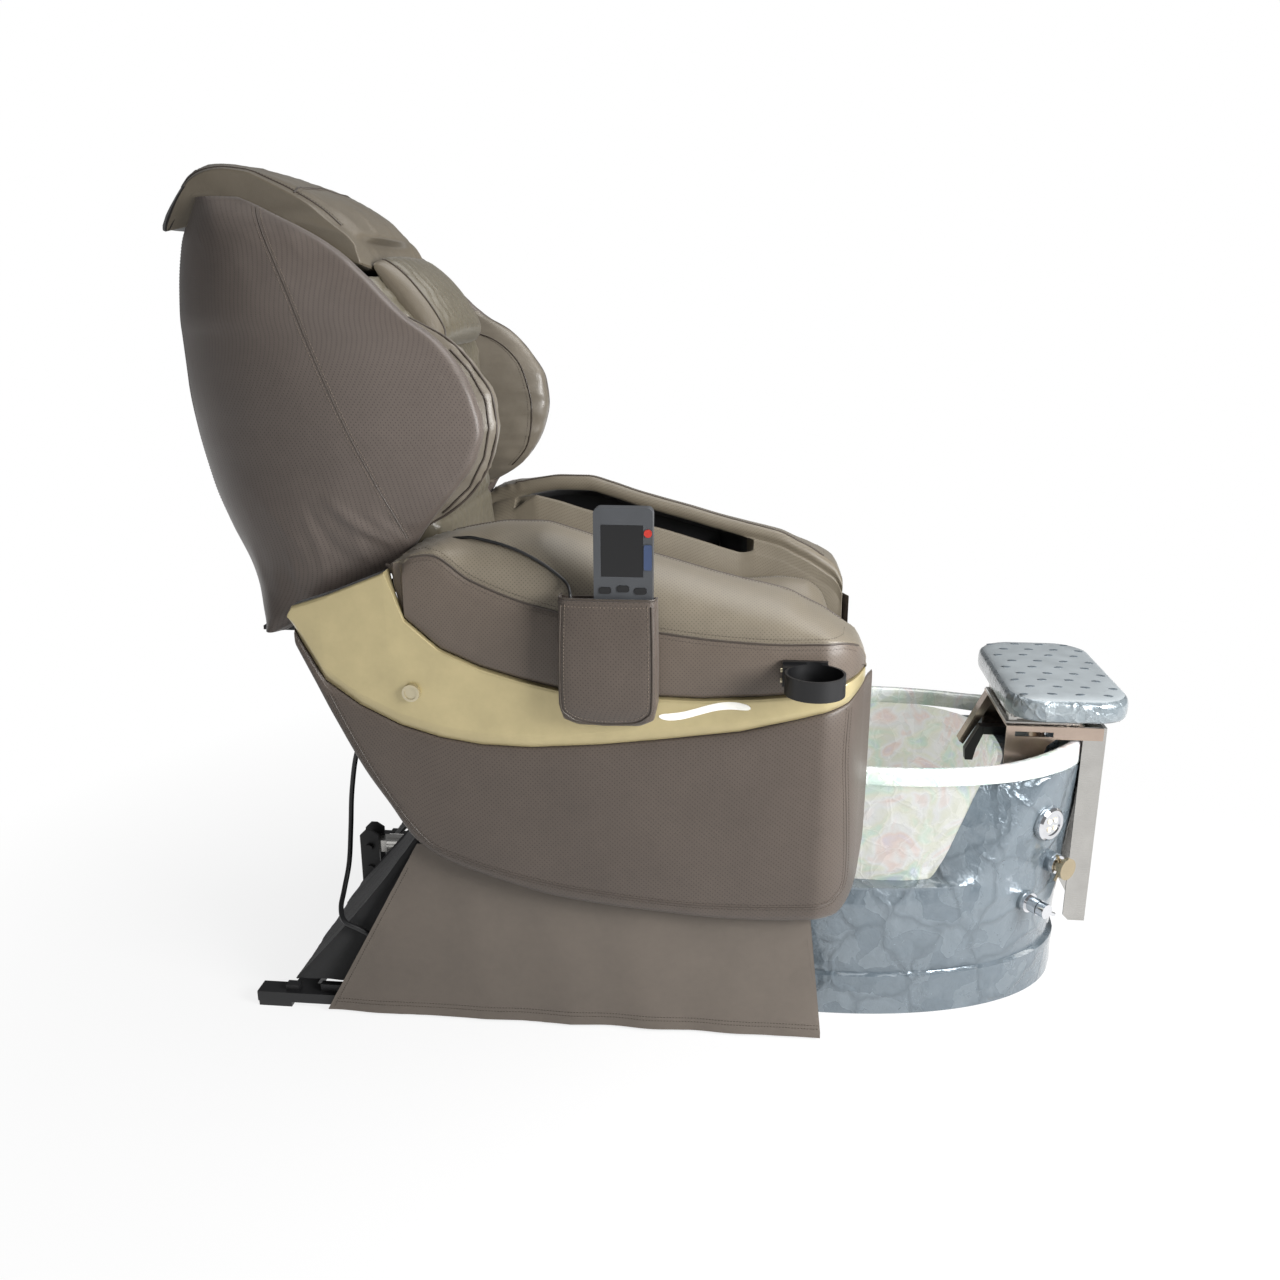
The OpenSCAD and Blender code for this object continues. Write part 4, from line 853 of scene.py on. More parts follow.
FINISHES: tuple = (
    Leather("shell_leather", SHELL_BROWN, roughness=0.42, perforated=True, pitch=0.0078, depth=0.2),
    Leather("panel_leather", srgb(79, 70, 63), roughness=0.42, perforated=True, pitch=0.0078, depth=0.2),
    Leather("arm_leather", OLIVE, roughness=0.42, perforated=True, pitch=0.0068, depth=0.16),
    # The side panels' brown leather, painted lighter for the arms' outer walls to offset the shade they get:
    # painted light.
    Leather("arm_side_leather_painted_lighter", srgb(92, 82, 73), roughness=0.42, perforated=True, pitch=0.0068, depth=0.2),
    Leather("plain_leather", HOOD_OLIVE, roughness=0.36, grain=0.0021, depth=0.4, sheen=0.05),
    Leather("wing_leather", srgb(110, 103, 92), roughness=0.34, grain=0.0021, depth=0.35, sheen=0.05),
    Leather("quilt_leather", srgb(92, 86, 72), roughness=0.34, grain=0.0021, depth=0.35),
    Leather("flap_leather", srgb(34, 30, 27), roughness=0.35, grain=0.0021, depth=0.4),
    Leather("skirt_leather", srgb(97, 89, 81), roughness=0.62, grain=0.003, depth=0.15),
    Leather("piping_leather", srgb(66, 58, 51), roughness=0.4, grain=0.002, depth=0.2),
    Leather("thread", srgb(60, 50, 40), roughness=0.6, grain=0.0008, depth=0.3),
    Leather("thread_light", srgb(118, 106, 92), roughness=0.6, grain=0.0008, depth=0.3),
    Metal("gold_paint", srgb(184, 170, 128), roughness=0.32, metallic=0.5, coat=0.3),
    Metal("steel", srgb(190, 188, 184), roughness=0.3, brushed=0.1),
    Metal("rose_steel", srgb(192, 174, 160), roughness=0.28, brushed=0.08),
    Metal("black_paint", srgb(30, 30, 31), roughness=0.5, metallic=0.1),
    Metal("chrome", srgb(232, 233, 236), roughness=0.08),
    Metal("bronze", srgb(188, 174, 146), roughness=0.24, metallic=0.9),
    Metal("bolt_metal", srgb(196, 186, 158), roughness=0.36, metallic=0.8),
    Plastic("black_plastic", srgb(11, 11, 13), roughness=0.42),
    Plastic("case_grey", srgb(62, 64, 67), roughness=0.45),
    Plastic("screen_glass", srgb(8, 8, 10), roughness=0.3, texture=0.0),
    Plastic("red_key", srgb(168, 44, 34), roughness=0.35, texture=0.02),
    Plastic("blue_key", srgb(52, 66, 96), roughness=0.35, texture=0.02),
    Plastic("cream_key", srgb(226, 218, 196), roughness=0.28, texture=0.02, coat=0.4),
    Plastic("white_light", srgb(240, 238, 230), roughness=0.3, glow=0.15),
    Plastic("cord_rubber", srgb(20, 20, 21), roughness=0.42),
    Plastic("dimple_grey", srgb(70, 79, 86), roughness=0.4),
    Plastic("pad_rubber", srgb(136, 142, 145), roughness=0.42, texture=0.05, coat=0.15),
    # Each foil's third colour is painted light along its creases: painted shade on the basin, painted
    # highlights on the others.
    Foil("basin_foil", srgb(98, 109, 117), srgb(113, 123, 130), srgb(82, 92, 99), size=0.1, edge=0.5),
    # The bowl's glow is painted light: it brightens the inside that the footrest shades from the key lamp.
    Foil("bowl_pearl", srgb(196, 200, 196), srgb(232, 233, 228), srgb(246, 246, 242), size=0.04, pearl=0.55,
         glow=0.55, depth=0.35, metallic=0.05, edge=0.3),
    Foil("rim_resin", srgb(158, 172, 176), srgb(194, 202, 202), srgb(226, 230, 230), size=0.03, pearl=0.35,
         depth=0.25, metallic=0.05),
    Foil("pad_side_foil", srgb(104, 114, 120), srgb(134, 142, 146), srgb(160, 167, 170), size=0.05,
         edge=0.3),
    # The curtain's black cloth, also laid as painted shade in the arms' channels and on the trims' rear
    # inner part.
    Cloth("curtain_cloth", srgb(26, 26, 27)),
)
MATERIALS: dict[str, Material] = {}


def finish(name: str) -> Material:
    """The material of that name, built the first time."""
    if name not in MATERIALS:
        MATERIALS[name] = next(f for f in FINISHES if f.name == name).build()
    return MATERIALS[name]


# ---------------------------------------------------------------- repeated details


def geometry_tree(name: str, ins: Sequence[tuple[str, str, object]]) -> tuple:
    """Empty geometry tree whose first input and output are geometry.

    Args:
        name: The tree's name.
        ins: Name, socket type and usual value of each further input.

    Returns:
        The tree, its graph, its input sockets and its output sockets.
    """
    tree = bpy.data.node_groups.new(name, "GeometryNodeTree")
    tree.interface.new_socket("Geometry", in_out="INPUT", socket_type="NodeSocketGeometry")
    for label, kind, value in ins:
        socket = tree.interface.new_socket(label, in_out="INPUT", socket_type=kind)
        if value is not None:
            socket.default_value = value
    tree.interface.new_socket("Geometry", in_out="OUTPUT", socket_type="NodeSocketGeometry")
    g = Graph(tree)
    return tree, g, g.add("NodeGroupInput").outputs, g.add("NodeGroupOutput").inputs


def scattered(g: Graph, copies: dict, look: Socket) -> Socket:
    """Puts copies of a shape on points, as real mesh with its finish."""
    on_points = g.add("GeometryNodeInstanceOnPoints", copies).outputs[0]
    real = g.add("GeometryNodeRealizeInstances", {"Geometry": on_points}).outputs[0]
    return g.add("GeometryNodeSetMaterial", {"Geometry": real, "Material": look}).outputs[0]


def stitch_tree() -> Tree:
    """Rows of thread stitches along the edges of a mesh."""
    tree, g, i, o = geometry_tree(
        "StitchRow",
        [("Pitch", "NodeSocketFloat", 0.005), ("Length", "NodeSocketFloat", 0.0036),
         ("Thickness", "NodeSocketFloat", 0.0009), ("Finish", "NodeSocketMaterial", None)],
    )
    curve = g.add("GeometryNodeMeshToCurve", {"Mesh": i["Geometry"]}).outputs[0]
    even = g.add("GeometryNodeResampleCurve", {"Curve": curve, "Length": i["Pitch"]},
                 mode="LENGTH").outputs[0]
    points = g.add("GeometryNodeCurveToPoints", {"Curve": even}, mode="EVALUATED")
    turn = g.add("FunctionNodeAlignEulerToVector", {"Vector": points.outputs["Tangent"]},
                 axis="X").outputs[0]
    stitch = g.add("GeometryNodeMeshIcoSphere", {"Radius": 0.5, "Subdivisions": 1}).outputs[0]
    size = g.add("ShaderNodeCombineXYZ", {0: i["Length"], 1: i["Thickness"], 2: i["Thickness"]}).outputs[0]
    copies = {"Points": points.outputs["Points"], "Instance": stitch, "Rotation": turn, "Scale": size}
    g.link(scattered(g, copies, i["Finish"]), o["Geometry"])
    return tree


def dimple_tree() -> Tree:
    """Small oval marks on the points of a mesh, each turned a little at random."""
    tree, g, i, o = geometry_tree(
        "DimpleField",
        [("Length", "NodeSocketFloat", 0.02), ("Width", "NodeSocketFloat", 0.009),
         ("Height", "NodeSocketFloat", 0.0012), ("Seed", "NodeSocketInt", 4),
         ("Finish", "NodeSocketMaterial", None)],
    )
    pill = g.add("GeometryNodeMeshUVSphere", {"Segments": 14, "Rings": 6, "Radius": 0.5}).outputs["Mesh"]
    size = g.add("ShaderNodeCombineXYZ", {0: i["Length"], 1: i["Width"], 2: i["Height"]}).outputs[0]
    angle = g.add("FunctionNodeRandomValue", {"Seed": i["Seed"]}, data_type="FLOAT")
    angle.inputs[2].default_value, angle.inputs[3].default_value = -0.35, 0.35
    turn = g.add("ShaderNodeCombineXYZ", {2: angle.outputs[1]}).outputs[0]
    copies = {"Points": i["Geometry"], "Instance": pill, "Rotation": turn, "Scale": size}
    g.link(scattered(g, copies, i["Finish"]), o["Geometry"])
    return tree


def grown(name: str, base: Mesh, tree: Tree,
          values: dict[str, object]) -> Object:
    """Plain mesh that a geometry tree makes from a base mesh.

    Args:
        name: The new piece's name.
        base: The mesh that goes in.
        tree: The geometry tree.
        values: Value for each named input.

    Returns:
        The new piece.
    """
    holder = new_piece(name + "_base", base)
    modifier = holder.modifiers.new("tree", "NODES")
    modifier.node_group = tree
    for item in tree.interface.items_tree:
        if item.item_type == "SOCKET" and item.in_out == "INPUT" and item.name in values:
            modifier[item.identifier] = values[item.name]
    graph = bpy.context.evaluated_depsgraph_get()
    mesh = bpy.data.meshes.new_from_object(holder.evaluated_get(graph))
    holder.modifiers.remove(modifier)
    bpy.data.objects.remove(holder)
    mesh.name = name
    return new_piece(name, mesh)


@dataclass
class Seams:
    """Collects the stitch rows and piping of one body, and makes them at the end."""

    body: str
    rows: dict[str, list[Array]] = field(default_factory=dict)
    pipes: list[tuple[Array, float, str]] = field(default_factory=list)

    def stitch(self, path: Array, thread: str = "thread") -> None:
        """Adds one stitch row along a path in millimetres."""
        if len(path) > 2:
            self.rows.setdefault(thread, []).append(path)

    def both_sides(self, piece: Object, line: Rows, side: Side, gap: float, lift: float,
                   thread: str = "thread") -> None:
        """Adds a stitch row on either side of a line in X and Z, on a piece's outer side."""
        for away in (-gap, gap):
            self.stitch(from_side(piece, beside(line, away), side, lift), thread)

    def pipe(self, path: Array, radius: float, material: str = "piping_leather") -> None:
        """Adds a piping cord or sunk seam line along a path in millimetres."""
        if len(path) > 2:
            self.pipes.append((path, radius, material))

    def build(self, tree: Tree) -> None:
        """Makes one piece of stitches for each thread, and one of piping."""
        for thread, rows in self.rows.items():
            points, edges = [], []
            for row in rows:
                start = len(points)
                points += (row * MM).tolist()
                edges += [(start + k, start + k + 1) for k in range(len(row) - 1)]
            base = bpy.data.meshes.new("rows")
            base.from_pydata(points, edges, [])
            piece = grown(f"stitches_{self.body}_{thread}", base, tree, {
                "Pitch": 0.0052, "Length": 0.0038, "Thickness": 0.001, "Finish": finish(thread)})
            shaded(piece.data, 180)
            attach(piece, self.body)
        if self.pipes:
            meshes = []
            for k, (path, radius, material) in enumerate(self.pipes):
                mesh = tube(f"pipe_{k}", path, radius, 8)
                mesh.materials.append(finish(material))
                meshes.append(mesh)
            piece = new_piece(f"piping_{self.body}", joined("piping", meshes))
            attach(piece, self.body)


# ---------------------------------------------------------------- outlines shared by the sides

ARM_BACK, ARM_FRONT = -349, 368  # where the arms proper end
SEAT_LOW = 503.3  # underside of the arms and the cushion
SIDE_FACE = 376.4  # just outside the sides' outer face
BACK_SLOPE = 0.1923  # how far the back leans for each unit of height
PLAN: Rows = ((-540, 371), (-470, 376), (300, 376), (322, 368), (340, 354), (356, 332), (368, 304),
              (376, 280), (384, 260))
TRIM_TOP: Rows = (
    (-538, 742), (-530, 755), (-473, 774), (-384, 810), (-377, 814), (-349, 737), (-296, 690), (-233, 662),
    (-170, 644), (-107, 630), (-44, 624), (111, 621), (204, 627), (264, 634), (320, 646), (368, 660))
TRIM_LOW: Rows = (
    (-538, 734), (-530, 718), (-521, 698), (-485, 634), (-431, 594), (-367, 562), (-303, 543), (-238, 533),
    (-157, 531), (-45, 540), (50, 552), (174, 570), (266, 594), (341, 616), (371, 639))
PANEL_LOW: Rows = (
    (-533, 691), (-505, 632), (-469, 553), (-432, 478), (-394, 417), (-355, 355), (-305, 319), (-221, 288),
    (-120, 261), (15, 244), (182, 234), (330, 243), (365, 263), (379, 291), (384, 330))
SEAM: Rows = (
    (-349, 826), (-335, 836), (-306, 840), (-246, 803), (-168, 771), (-106, 754), (-45, 739), (48, 726),
    (140, 716), (231, 712), (300, 714), (322, 714), (340, 710), (356, 700), (368, 676))
CROWN: Rows = (
    (-349, 838), (-335, 846), (-306, 855), (-250, 868), (-200, 875), (-150, 875), (-100, 863), (-50, 847),
    (0, 833), (60, 817), (120, 800), (180, 785), (215, 777), (245, 769), (275, 754), (300, 742), (322, 728),
    (340, 716), (356, 704), (368, 680))
FIN_TOP: Rows = ((-377, 819), (-366, 827), (-349, 838))
CROWN_Y: Rows = ((-349, 264), (-250, 252), (150, 247), (250, 240), (340, 236), (368, 234))
CHANNEL: Rows = ((-296, 0), (-250, 1), (120, 1), (165, 0.7), (190, 0))
INNER_TOP: Rows = (
    (-250, 838), (-200, 826), (-150, 811), (-100, 799), (-50, 786), (0, 775), (60, 758), (120, 740),
    (165, 724))


def plan_y(x: float) -> float:
    """Distance of the sides' outer face from the centre plane."""
    return curved(x, PLAN)


def placed(rings: list, side: Side) -> Array:
    """Rings of the right side as an array, mirrored for the left."""
    out = np.array(rings, float)
    if side is Side.LEFT:
        out[:, :, 1] *= -1
    return out


# ---------------------------------------------------------------- the sides


@dataclass
class Arm:
    """One padded arm: outer wall, domed top, overhanging edge and forearm channel."""

    side: Side
    seams: Seams
    gap: float = 7.0

    def ring(self, x: float) -> list[Point]:
        """Section across the arm at x; behind the arm proper it narrows to a fin above the trim."""
        if x < ARM_BACK:
            t = eased((ARM_BACK - x) / 5)
            low = straight(x, TRIM_TOP) + mix(-14, 1.5, eased((-357 - x) / 9))
            high = straight(x, FIN_TOP)
            reach = mix(360, 348, eased((-366 - x) / 6))
            return [(x, mix(y, -min(max(-y, 341), reach), t),
                     mix(z, mix(low, high, min(1, (z - 700) / 138)), t))
                    for _, y, z in self.ring(ARM_BACK)]
        o, tt, s, c = plan_y(x), straight(x, TRIM_TOP), curved(x, SEAM), curved(x, CROWN)
        cy, d = curved(x, CROWN_Y), straight(x, CHANNEL)
        zb = mix(700, SEAT_LOW, eased((x - ARM_BACK) / 14))
        m = (tt + straight(x, TRIM_LOW)) / 2 + 0.3
        w, side, zf = min(336, o - 34), o - 10 - cy, c - 110
        zi = curved(x, INNER_TOP)
        hole = [(cy - 4, c - 31), (320, c - 42), (320, zf + 14), (306, zf), (250, zf), (236, zf + 14),
                (236, zi - 6), (230, zi)]
        line = [(mix(cy - 14, 223, k / 9), mix(c - 27, c - 58, k / 9)) for k in range(1, 9)]
        dome = [
            (cy + side * math.cos(a), s + 2 + (c - s - 2) * math.sin(a))
            for a in np.radians([8, 20, 32, 44, 56, 68, 79, 90])
        ]
        outline = [
            (w, zb), (w, max(m, zb + 1)), (o - 15, max(m, zb + 1)), (o - 15, tt + 1), (o - 7, tt + 3),
            (o - 4, tt + 9), (o - 3.2, (tt + s) / 2 - 4), (o - 5, s - 12), (o - 9.5, s - 3),
            (o - 10.5, s - 0.5), *dome,
            (cy - 8, c - 3), (cy - 13, c - 10), (cy - 14, c - 18), (cy - 10, c - 27),
            *[(mix(a[0], b[0], d), mix(a[1], b[1], d)) for a, b in zip(line, hole)],
            (222, mix(c - 62, zi - 8, d)), (222, zb + 8),
        ]
        return [(x, -y, z) for y, z in outline]

    def build(self) -> None:
        """Makes the arm, its seams and its stitches."""
        places = spread([-377, -366, -355, -352, -349, -340, -335, -323, -296, -250, 120, 190, 300, 340,
                         368], self.gap)
        rings = rounded(placed([self.ring(x) for x in places], self.side), 1)
        name = f"arm_{self.side.word}"
        mesh = loft(name + "_cover", rings, swell=5)
        mesh.materials.append(finish("arm_leather"))
        # the outer wall below the welt takes the panels' leather painted lighter, against the shade it lies
        # in
        paint(mesh, finish("arm_side_leather_painted_lighter"), lambda p, n: (np.abs(p[:, 1]) > 300) & (
            p[:, 2] < follow(p[:, 0], SEAM) - 1))
        # painted shade: the walls and floor of the deep channel take the near-black curtain cloth
        paint(mesh, finish("curtain_cloth"), lambda p,
              n: (np.abs(p[:, 1]) > 236.5) & (np.abs(p[:, 1]) < 321) & (
            p[:, 0] > -262) & (p[:, 0] < 176) & (p[:, 2] < follow(p[:, 0], CROWN) - 30) & (p[:, 2] > 640))
        sign = self.side.value

        def folds(p: Array, n: Array) -> Array:
            """Soft unevenness, and tucks gathered at the rear and the nose."""
            soft = 1.1 * noise(p, 90, 3 + sign)
            top = smooth((p[:, 2] - follow(p[:, 0], SEAM)) / 12)
            rear = smooth((-262 - p[:, 0]) / 45) * top
            nose = smooth((p[:, 0] - 270) / 60)
            tucks = 1.8 * rear * np.sin(p[:, 0] * 0.32 + p[:, 1] * 0.2) + nose * 1.0 * noise(p, 26, 8)
            inner = smooth((240 - np.abs(p[:, 1])) / 20)
            return (soft * 0.6 + tucks) * (1 - 0.7 * inner)

        shift(mesh, folds)
        piece = dress(new_piece(name + "_cover", mesh), "carriage", name)
        welt = [(x, curved(x, SEAM)) for x in spread([-338, -306, 330, 352], 10)]
        self.seams.pipe(from_side(piece, welt, self.side, 0.4), 1.7)
        self.seams.both_sides(piece, welt, self.side, 7.5, 0.25)
        crown = [(x, curved(x, CROWN_Y) - 3, 1000) for x in spread([-296, 330], 8)]
        tops = np.array([(x, sign * y, z) for x, y, z in crown])
        self.seams.pipe(cast(piece, tops, (0, 0, -1), 0.2), 1.5)
        tops[:, 1] += sign * 9
        self.seams.stitch(cast(piece, tops, (0, 0, -1), 0.2), "thread")


@dataclass
class SidePanel:
    """One padded side panel below its metal trim."""

    side: Side
    seams: Seams

    def ring(self, x: float) -> list[Point]:
        """Section across the panel at x."""
        o, lo, tl = plan_y(x), curved(x, PANEL_LOW), straight(x, TRIM_LOW)
        behind = ARM_BACK <= x <= ARM_FRONT
        inside = min(338, o - 20)
        top = (straight(x, TRIM_TOP) + tl) / 2 - 0.3 if behind else tl - 1
        tuck, h, near = o - 15, tl - lo, -365 < x <= ARM_FRONT
        return [(x, -y, z) for y, z in (
            (inside, lo + 0.06 * h), (inside, top), (tuck if near else o - 12, top),
            (tuck if near else o - 10, tl - 0.8 if behind else tl - 2), (o - 10, tl - 1.5),
            (o - 7, tl - 3.5),
            (o - 5, tl - 10), (o - 4, mix(tl, lo, 0.2)), (o - 3.5, mix(tl, lo, 0.45)),
            (o - 4, mix(tl, lo, 0.68)),
            (o - 6, mix(tl, lo, 0.84)), (o - 9, mix(tl, lo, 0.94)), (o - 14, mix(tl, lo, 0.99)),
            (inside + 4, lo))]

    def build(self) -> None:
        """Makes the panel with its double seam."""
        places = spread([-530, -515, -485, -394, -362, -349.5, -349, -323, 0, 300, 340, 368, 368.5, 376,
                         384], 8)
        rings = rounded(placed([self.ring(x) for x in places], self.side), 1)
        name = f"side_panel_{self.side.word}"
        mesh = loft(name + "_cover", rings, swell=3)
        mesh.materials.append(finish("panel_leather"))
        sign = self.side.value
        shift(mesh, lambda p, n: np.where(np.abs(p[:, 1]) > 345, 0.9 * noise(p, 120, 11 + sign), 0))
        piece = dress(new_piece(name + "_cover", mesh), "carriage", name)
        inset = [(342, 606), (340, 526), (346, 440), (351, 350), (349, 300), (335, 283), (303, 271),
                 (116, 264), (-49, 278), (-183, 302), (-299, 338), (-345, 372), (-400, 452), (-446, 540),
                 (-478, 610)]
        self.seams.pipe(from_side(piece, inset, self.side, -0.2), 0.9)
        self.seams.both_sides(piece, resample(np.array(inset, float), 12), self.side, 4.5, 0.25)


@dataclass
class Trim:
    """One long painted metal trim."""

    side: Side

    def ring(self, x: float) -> list[Point]:
        """Section across the trim at x."""
        o, t, b = plan_y(x), straight(x, TRIM_TOP), straight(x, TRIM_LOW)
        v = min(22, 0.32 * (t - b))
        w = mix(o - 339, 14, eased((x + 383) / 20))
        return [(x, -y, z) for y, z in (
            (o - w, b + v), (o - w, t), (o - 5, t), (o - 1.5, t - 0.8), (o - 0.2, t - 3), (o, t - 6),
            (o, b + v + 3), (o - 0.6, b + v), (o - 8, b + 1.5), (o - 9.5, b))]

    def build(self) -> None:
        """Makes the trim."""
        places = spread([-538, -536, -530, -515, -485, -384, -377, -362, -349, -323, 300, 340, 368], 6)
        mesh = loft("trim", placed([self.ring(x) for x in places], self.side))
        mesh.materials.append(finish("gold_paint"))
        # painted shade: behind the arm the trim's inner part takes the near-black curtain cloth
        paint(mesh, finish("curtain_cloth"), lambda p, n: (p[:, 0] < -378) & (np.abs(p[:, 1]) < 364))
        shaded(mesh, 28)
        name = f"trim_{self.side.word}"
        dress(new_piece(name + "_plate", mesh), "carriage", name)


@dataclass
class Carriage:
    """The sliding seat: cushion, sides, skirts, curtain, pocket and cords."""

    seams: Seams = field(default_factory=lambda: Seams("carriage"))
    cushion_half: float = 218
    seat_z: float = 644
    skirt_rows: Rows = ((-541, 7), (-362, 337), (-300, 336), (-200, 300), (0, 268), (295, 262), (324, 15))
    curtain: Rows = ((-419.7, 467), (-419.7, 452), (-386, 402), (-362, 352), (-376, 325), (-430, 250),
                     (-512, 150), (-600, 52))
    cord: Rows = (
        (-300, -284, 848.3), (-300, -285, 853), (-288, -302, 854), (-270, -315, 857.5), (-253, -320, 859.5),
        (-236, -324, 858), (-203, -332, 852.5), (-170, -340, 843), (-138, -347, 828.5), (-116, -352, 815),
        (-98, -362, 803), (-90, -377, 798), (-86, -389, 792), (-85, -392, 784), (-85, -392, 772))
    cable: Rows = (
        (-417.6, -200, 477), (-428, -200, 477), (-454, -200, 483), (-484, -200, 474), (-505, -200, 440),
        (-519, -200, 368), (-522, -212, 300), (-520, -238, 245), (-520, -272, 208), (-516, -304, 190),
        (-503, -325.5, 176), (-478, -326, 163), (-452, -324, 145), (-440, -323.2, 120), (-440, -323, 90.3))

    def seat(self) -> None:
        """Makes the seat cushion with its raised sides and sewn channels."""
        bolster = ((-300, 12), (0, 20), (200, 36), (290, 40), (325, 34), (345, 20))
        top = ((-300, -8), (-150, -4), (0, 0), (150, 6), (240, 8), (290, 2), (320, -12), (338, -38),
               (349, -80))
        shares = ((1, 10, 0), (1, -52, 0), (0.985, -22, 0.5), (0.93, -4, 1), (0.84, 0, 1), (0.72, -1, 0.85),
                  (0.6, 0, 0.45), (0.5, 3, 0.15), (0.465, -7, 0), (0.43, 3, 0), (0.25, 7, 0))
        rings = []
        for x in spread([-298, -290, -250, 255.3, 258, 349], 7):
            t, b = curved(x, top) + self.seat_z, curved(x, bolster)
            t -= 14 * eased((-288 - x) / 10)
            e = 6 * eased((-288 - x) / 10)
            zb = SEAT_LOW if x < 256 else 472 + max(0, x - 320) * 1.4
            half = [((self.cushion_half - e) * w, zb + 10 if k == 0 else t + h + b * f) for k,
                    (w, h, f) in enumerate(shares)]
            right = [(x, -(self.cushion_half - 8), zb)] + [(x, -y, z) for y, z in half]
            left = [(x, y, z) for y, z in reversed(half)] + [(x, self.cushion_half - 8, zb)]
            rings.append(right + [(x, 0, t + 9)] + left)
        mesh = loft("seat_cushion_cover", rounded(np.array(rings), 1), swell=3)
        mesh.materials.append(finish("arm_leather"))

        def lumps(p: Array, n: Array) -> Array:
            """Soft unevenness of the top, away from the sides."""
            top = np.where(p[:, 2] > 560, 1.6 * noise(p, 60, 21) + 0.8 * noise(p, 18, 22), 0)
            return top * (np.abs(p[:, 1]) < 210)

        shift(mesh, lumps)
        piece = new_piece("seat_cushion_cover", mesh)
        dress(piece, "carriage", "seat_cushion")
        for y in (-101, 101, -185, 185):
            starts = np.array([(x, y, 900) for x in spread([-285, 322], 6)])
            self.seams.stitch(cast(piece, starts, (0, 0, -1), 0.3), "thread")

    def skirt(self, side: Side) -> None:
        """Makes one hanging skirt with a hem seam."""
        xs = spread([-541, -510, -362, -300, 0, 295, 324], 9)
        sign = side.value
        rings = []
        for x in xs:
            low, high = 5.0, max(straight(x, self.skirt_rows), 7.0)
            column = []
            for t in np.linspace(0, 1, 22):
                z = mix(low, high, t)
                drop = (1 - t) ** 1.5
                y = 337.3 + drop * (1.6 * math.sin(math.radians(x * 2.3))
                                    + 1.2) + 0.9 * drop * math.sin(x * 0.05 + z * 0.01)
                column.append((x, y, z))
            back = [(x, y - 2.2, z) for x, y, z in reversed(column)]
            rings.append([(x, sign * y, z) for x, y, z in column + back])
        name = f"skirt_{side.word}"
        mesh = capped_flat(name, np.array(rings))
        mesh.materials.append(finish("skirt_leather"))
        shift(mesh, lambda p, n: 0.7 * creases(p, 90, 31, (1, 1, 2.2)) - 0.2)
        piece = dress(new_piece(name, mesh), "carriage", "side_skirts")
        for z in (22, 29):
            x0, x1 = mix(-541, -362, (z - 5) / 332) + 6, 318
            self.seams.stitch(from_side(piece, [(x0, z), (x1, z)], side, 0.3), "thread")
        self.seams.stitch(from_side(piece, [(-528, 14), (-380, 290)], side, 0.3), "thread")

    def back_curtain(self) -> None:
        """Makes the folded curtain behind the base, open where the actuator passes."""
        path = catmull(self.curtain, 5)
        bulge = np.interp(np.arange(len(path)) / 5, [1, 2, 4, 5], [0, 1, 1, 0]) * 25
        share = np.clip((np.arange(len(path)) / 5 - 2) / 4, 0, 1)
        wrap = np.maximum(path[:, 0] + 3, np.minimum(-357, -527 + 0.5424 * (path[:, 1] - 7)))
        ys = np.concatenate([spread([-314.5, 30], 6), spread([38, 50, 150, 162], 6),
                             spread([172, 314.5], 6)])
        rings = []
        for y in ys:
            fold = share * (5 * math.sin(math.radians(y * 2.6)) + 3 * math.sin(math.radians(y * 5.1 + 40)))
            x = path[:, 0] + fold * 0.5 - bulge * smooth((52 - abs(y)) / 24)
            z = path[:, 1] + fold * 0.45
            if 42 <= y <= 158:
                over = np.arange(len(path)) > 25
                x[over], z[over] = x[25] - 0.6 * (np.arange(over.sum())
                                                  + 1), z[25] - 0.72 * (np.arange(over.sum()) + 1)
            column = np.column_stack([x, np.full(len(x), y), z])
            rings.append(np.vstack([column, column[::-1] + (-2.0, 0, 1.4)]))
        for side in Side:
            ends = []
            for t in np.linspace(0.05, 1, 14):
                x = mix(path[:, 0] + 1, wrap, t)
                sway = 1.2 * math.sin(t * 9)
                inner = np.column_stack([x, np.full(len(x), side.value * (313.2 + sway)), path[:, 1]])
                outer = inner[::-1] + (0, side.value * 2.4, 1)
                ends.append(np.vstack([inner, outer]))
            rings = ends[::-1] + rings if side is Side.RIGHT else rings + ends
        mesh = capped_flat("curtain", np.array(rings))
        mesh.materials.append(finish("curtain_cloth"))
        shift(mesh, lambda p, n: 1.5 * smooth((440 - p[:, 2]) / 100) * creases(p, 70, 41, (1, 2.0, 1)))
        piece = dress(new_piece("curtain", mesh), "carriage", "rear_curtain")

    def pocket(self) -> None:
        """Makes the remote's leather pocket, with piping and stitches."""
        rings = []

        def ring(z: float, inset: float) -> list[Point]:
            """Section of the pocket at height z, drawn in by inset."""
            k = straight(z, ((582, 0.72), (594, 0.93), (620, 1), (700, 1), (785, 0.98)))
            front = SIDE_FACE + curved(z,
                                             ((582, 14), (594, 28), (620, 38), (700, 40),
                                              (785, 34))) - inset
            back, x0, x1, r = SIDE_FACE + inset * 0.85, mix(-30, -104, k) + inset, mix(-30, 48,
                                                                                       k) - inset, 12
            arc = [(x1 - r + r * math.sin(a), front - r + r * math.cos(a))
                   for a in np.radians([0, 30, 60, 90])]
            flat = [(mix(x0 + r, x1 - r, t), front + 2 * math.sin(math.pi * t))
                    for t in np.linspace(0.1, 0.9, 9)]
            other = [(x0 + r - r * math.sin(a), front - r + r * math.cos(a))
                     for a in np.radians([90, 60, 30, 0])]
            rim = [(x0, back)] + other + flat + arc + [(x1, back)]
            rim += [(mix(x1, x0, t), back) for t in np.linspace(0.1, 0.9, 9)]
            return [(x, -y, z) for x, y in rim]

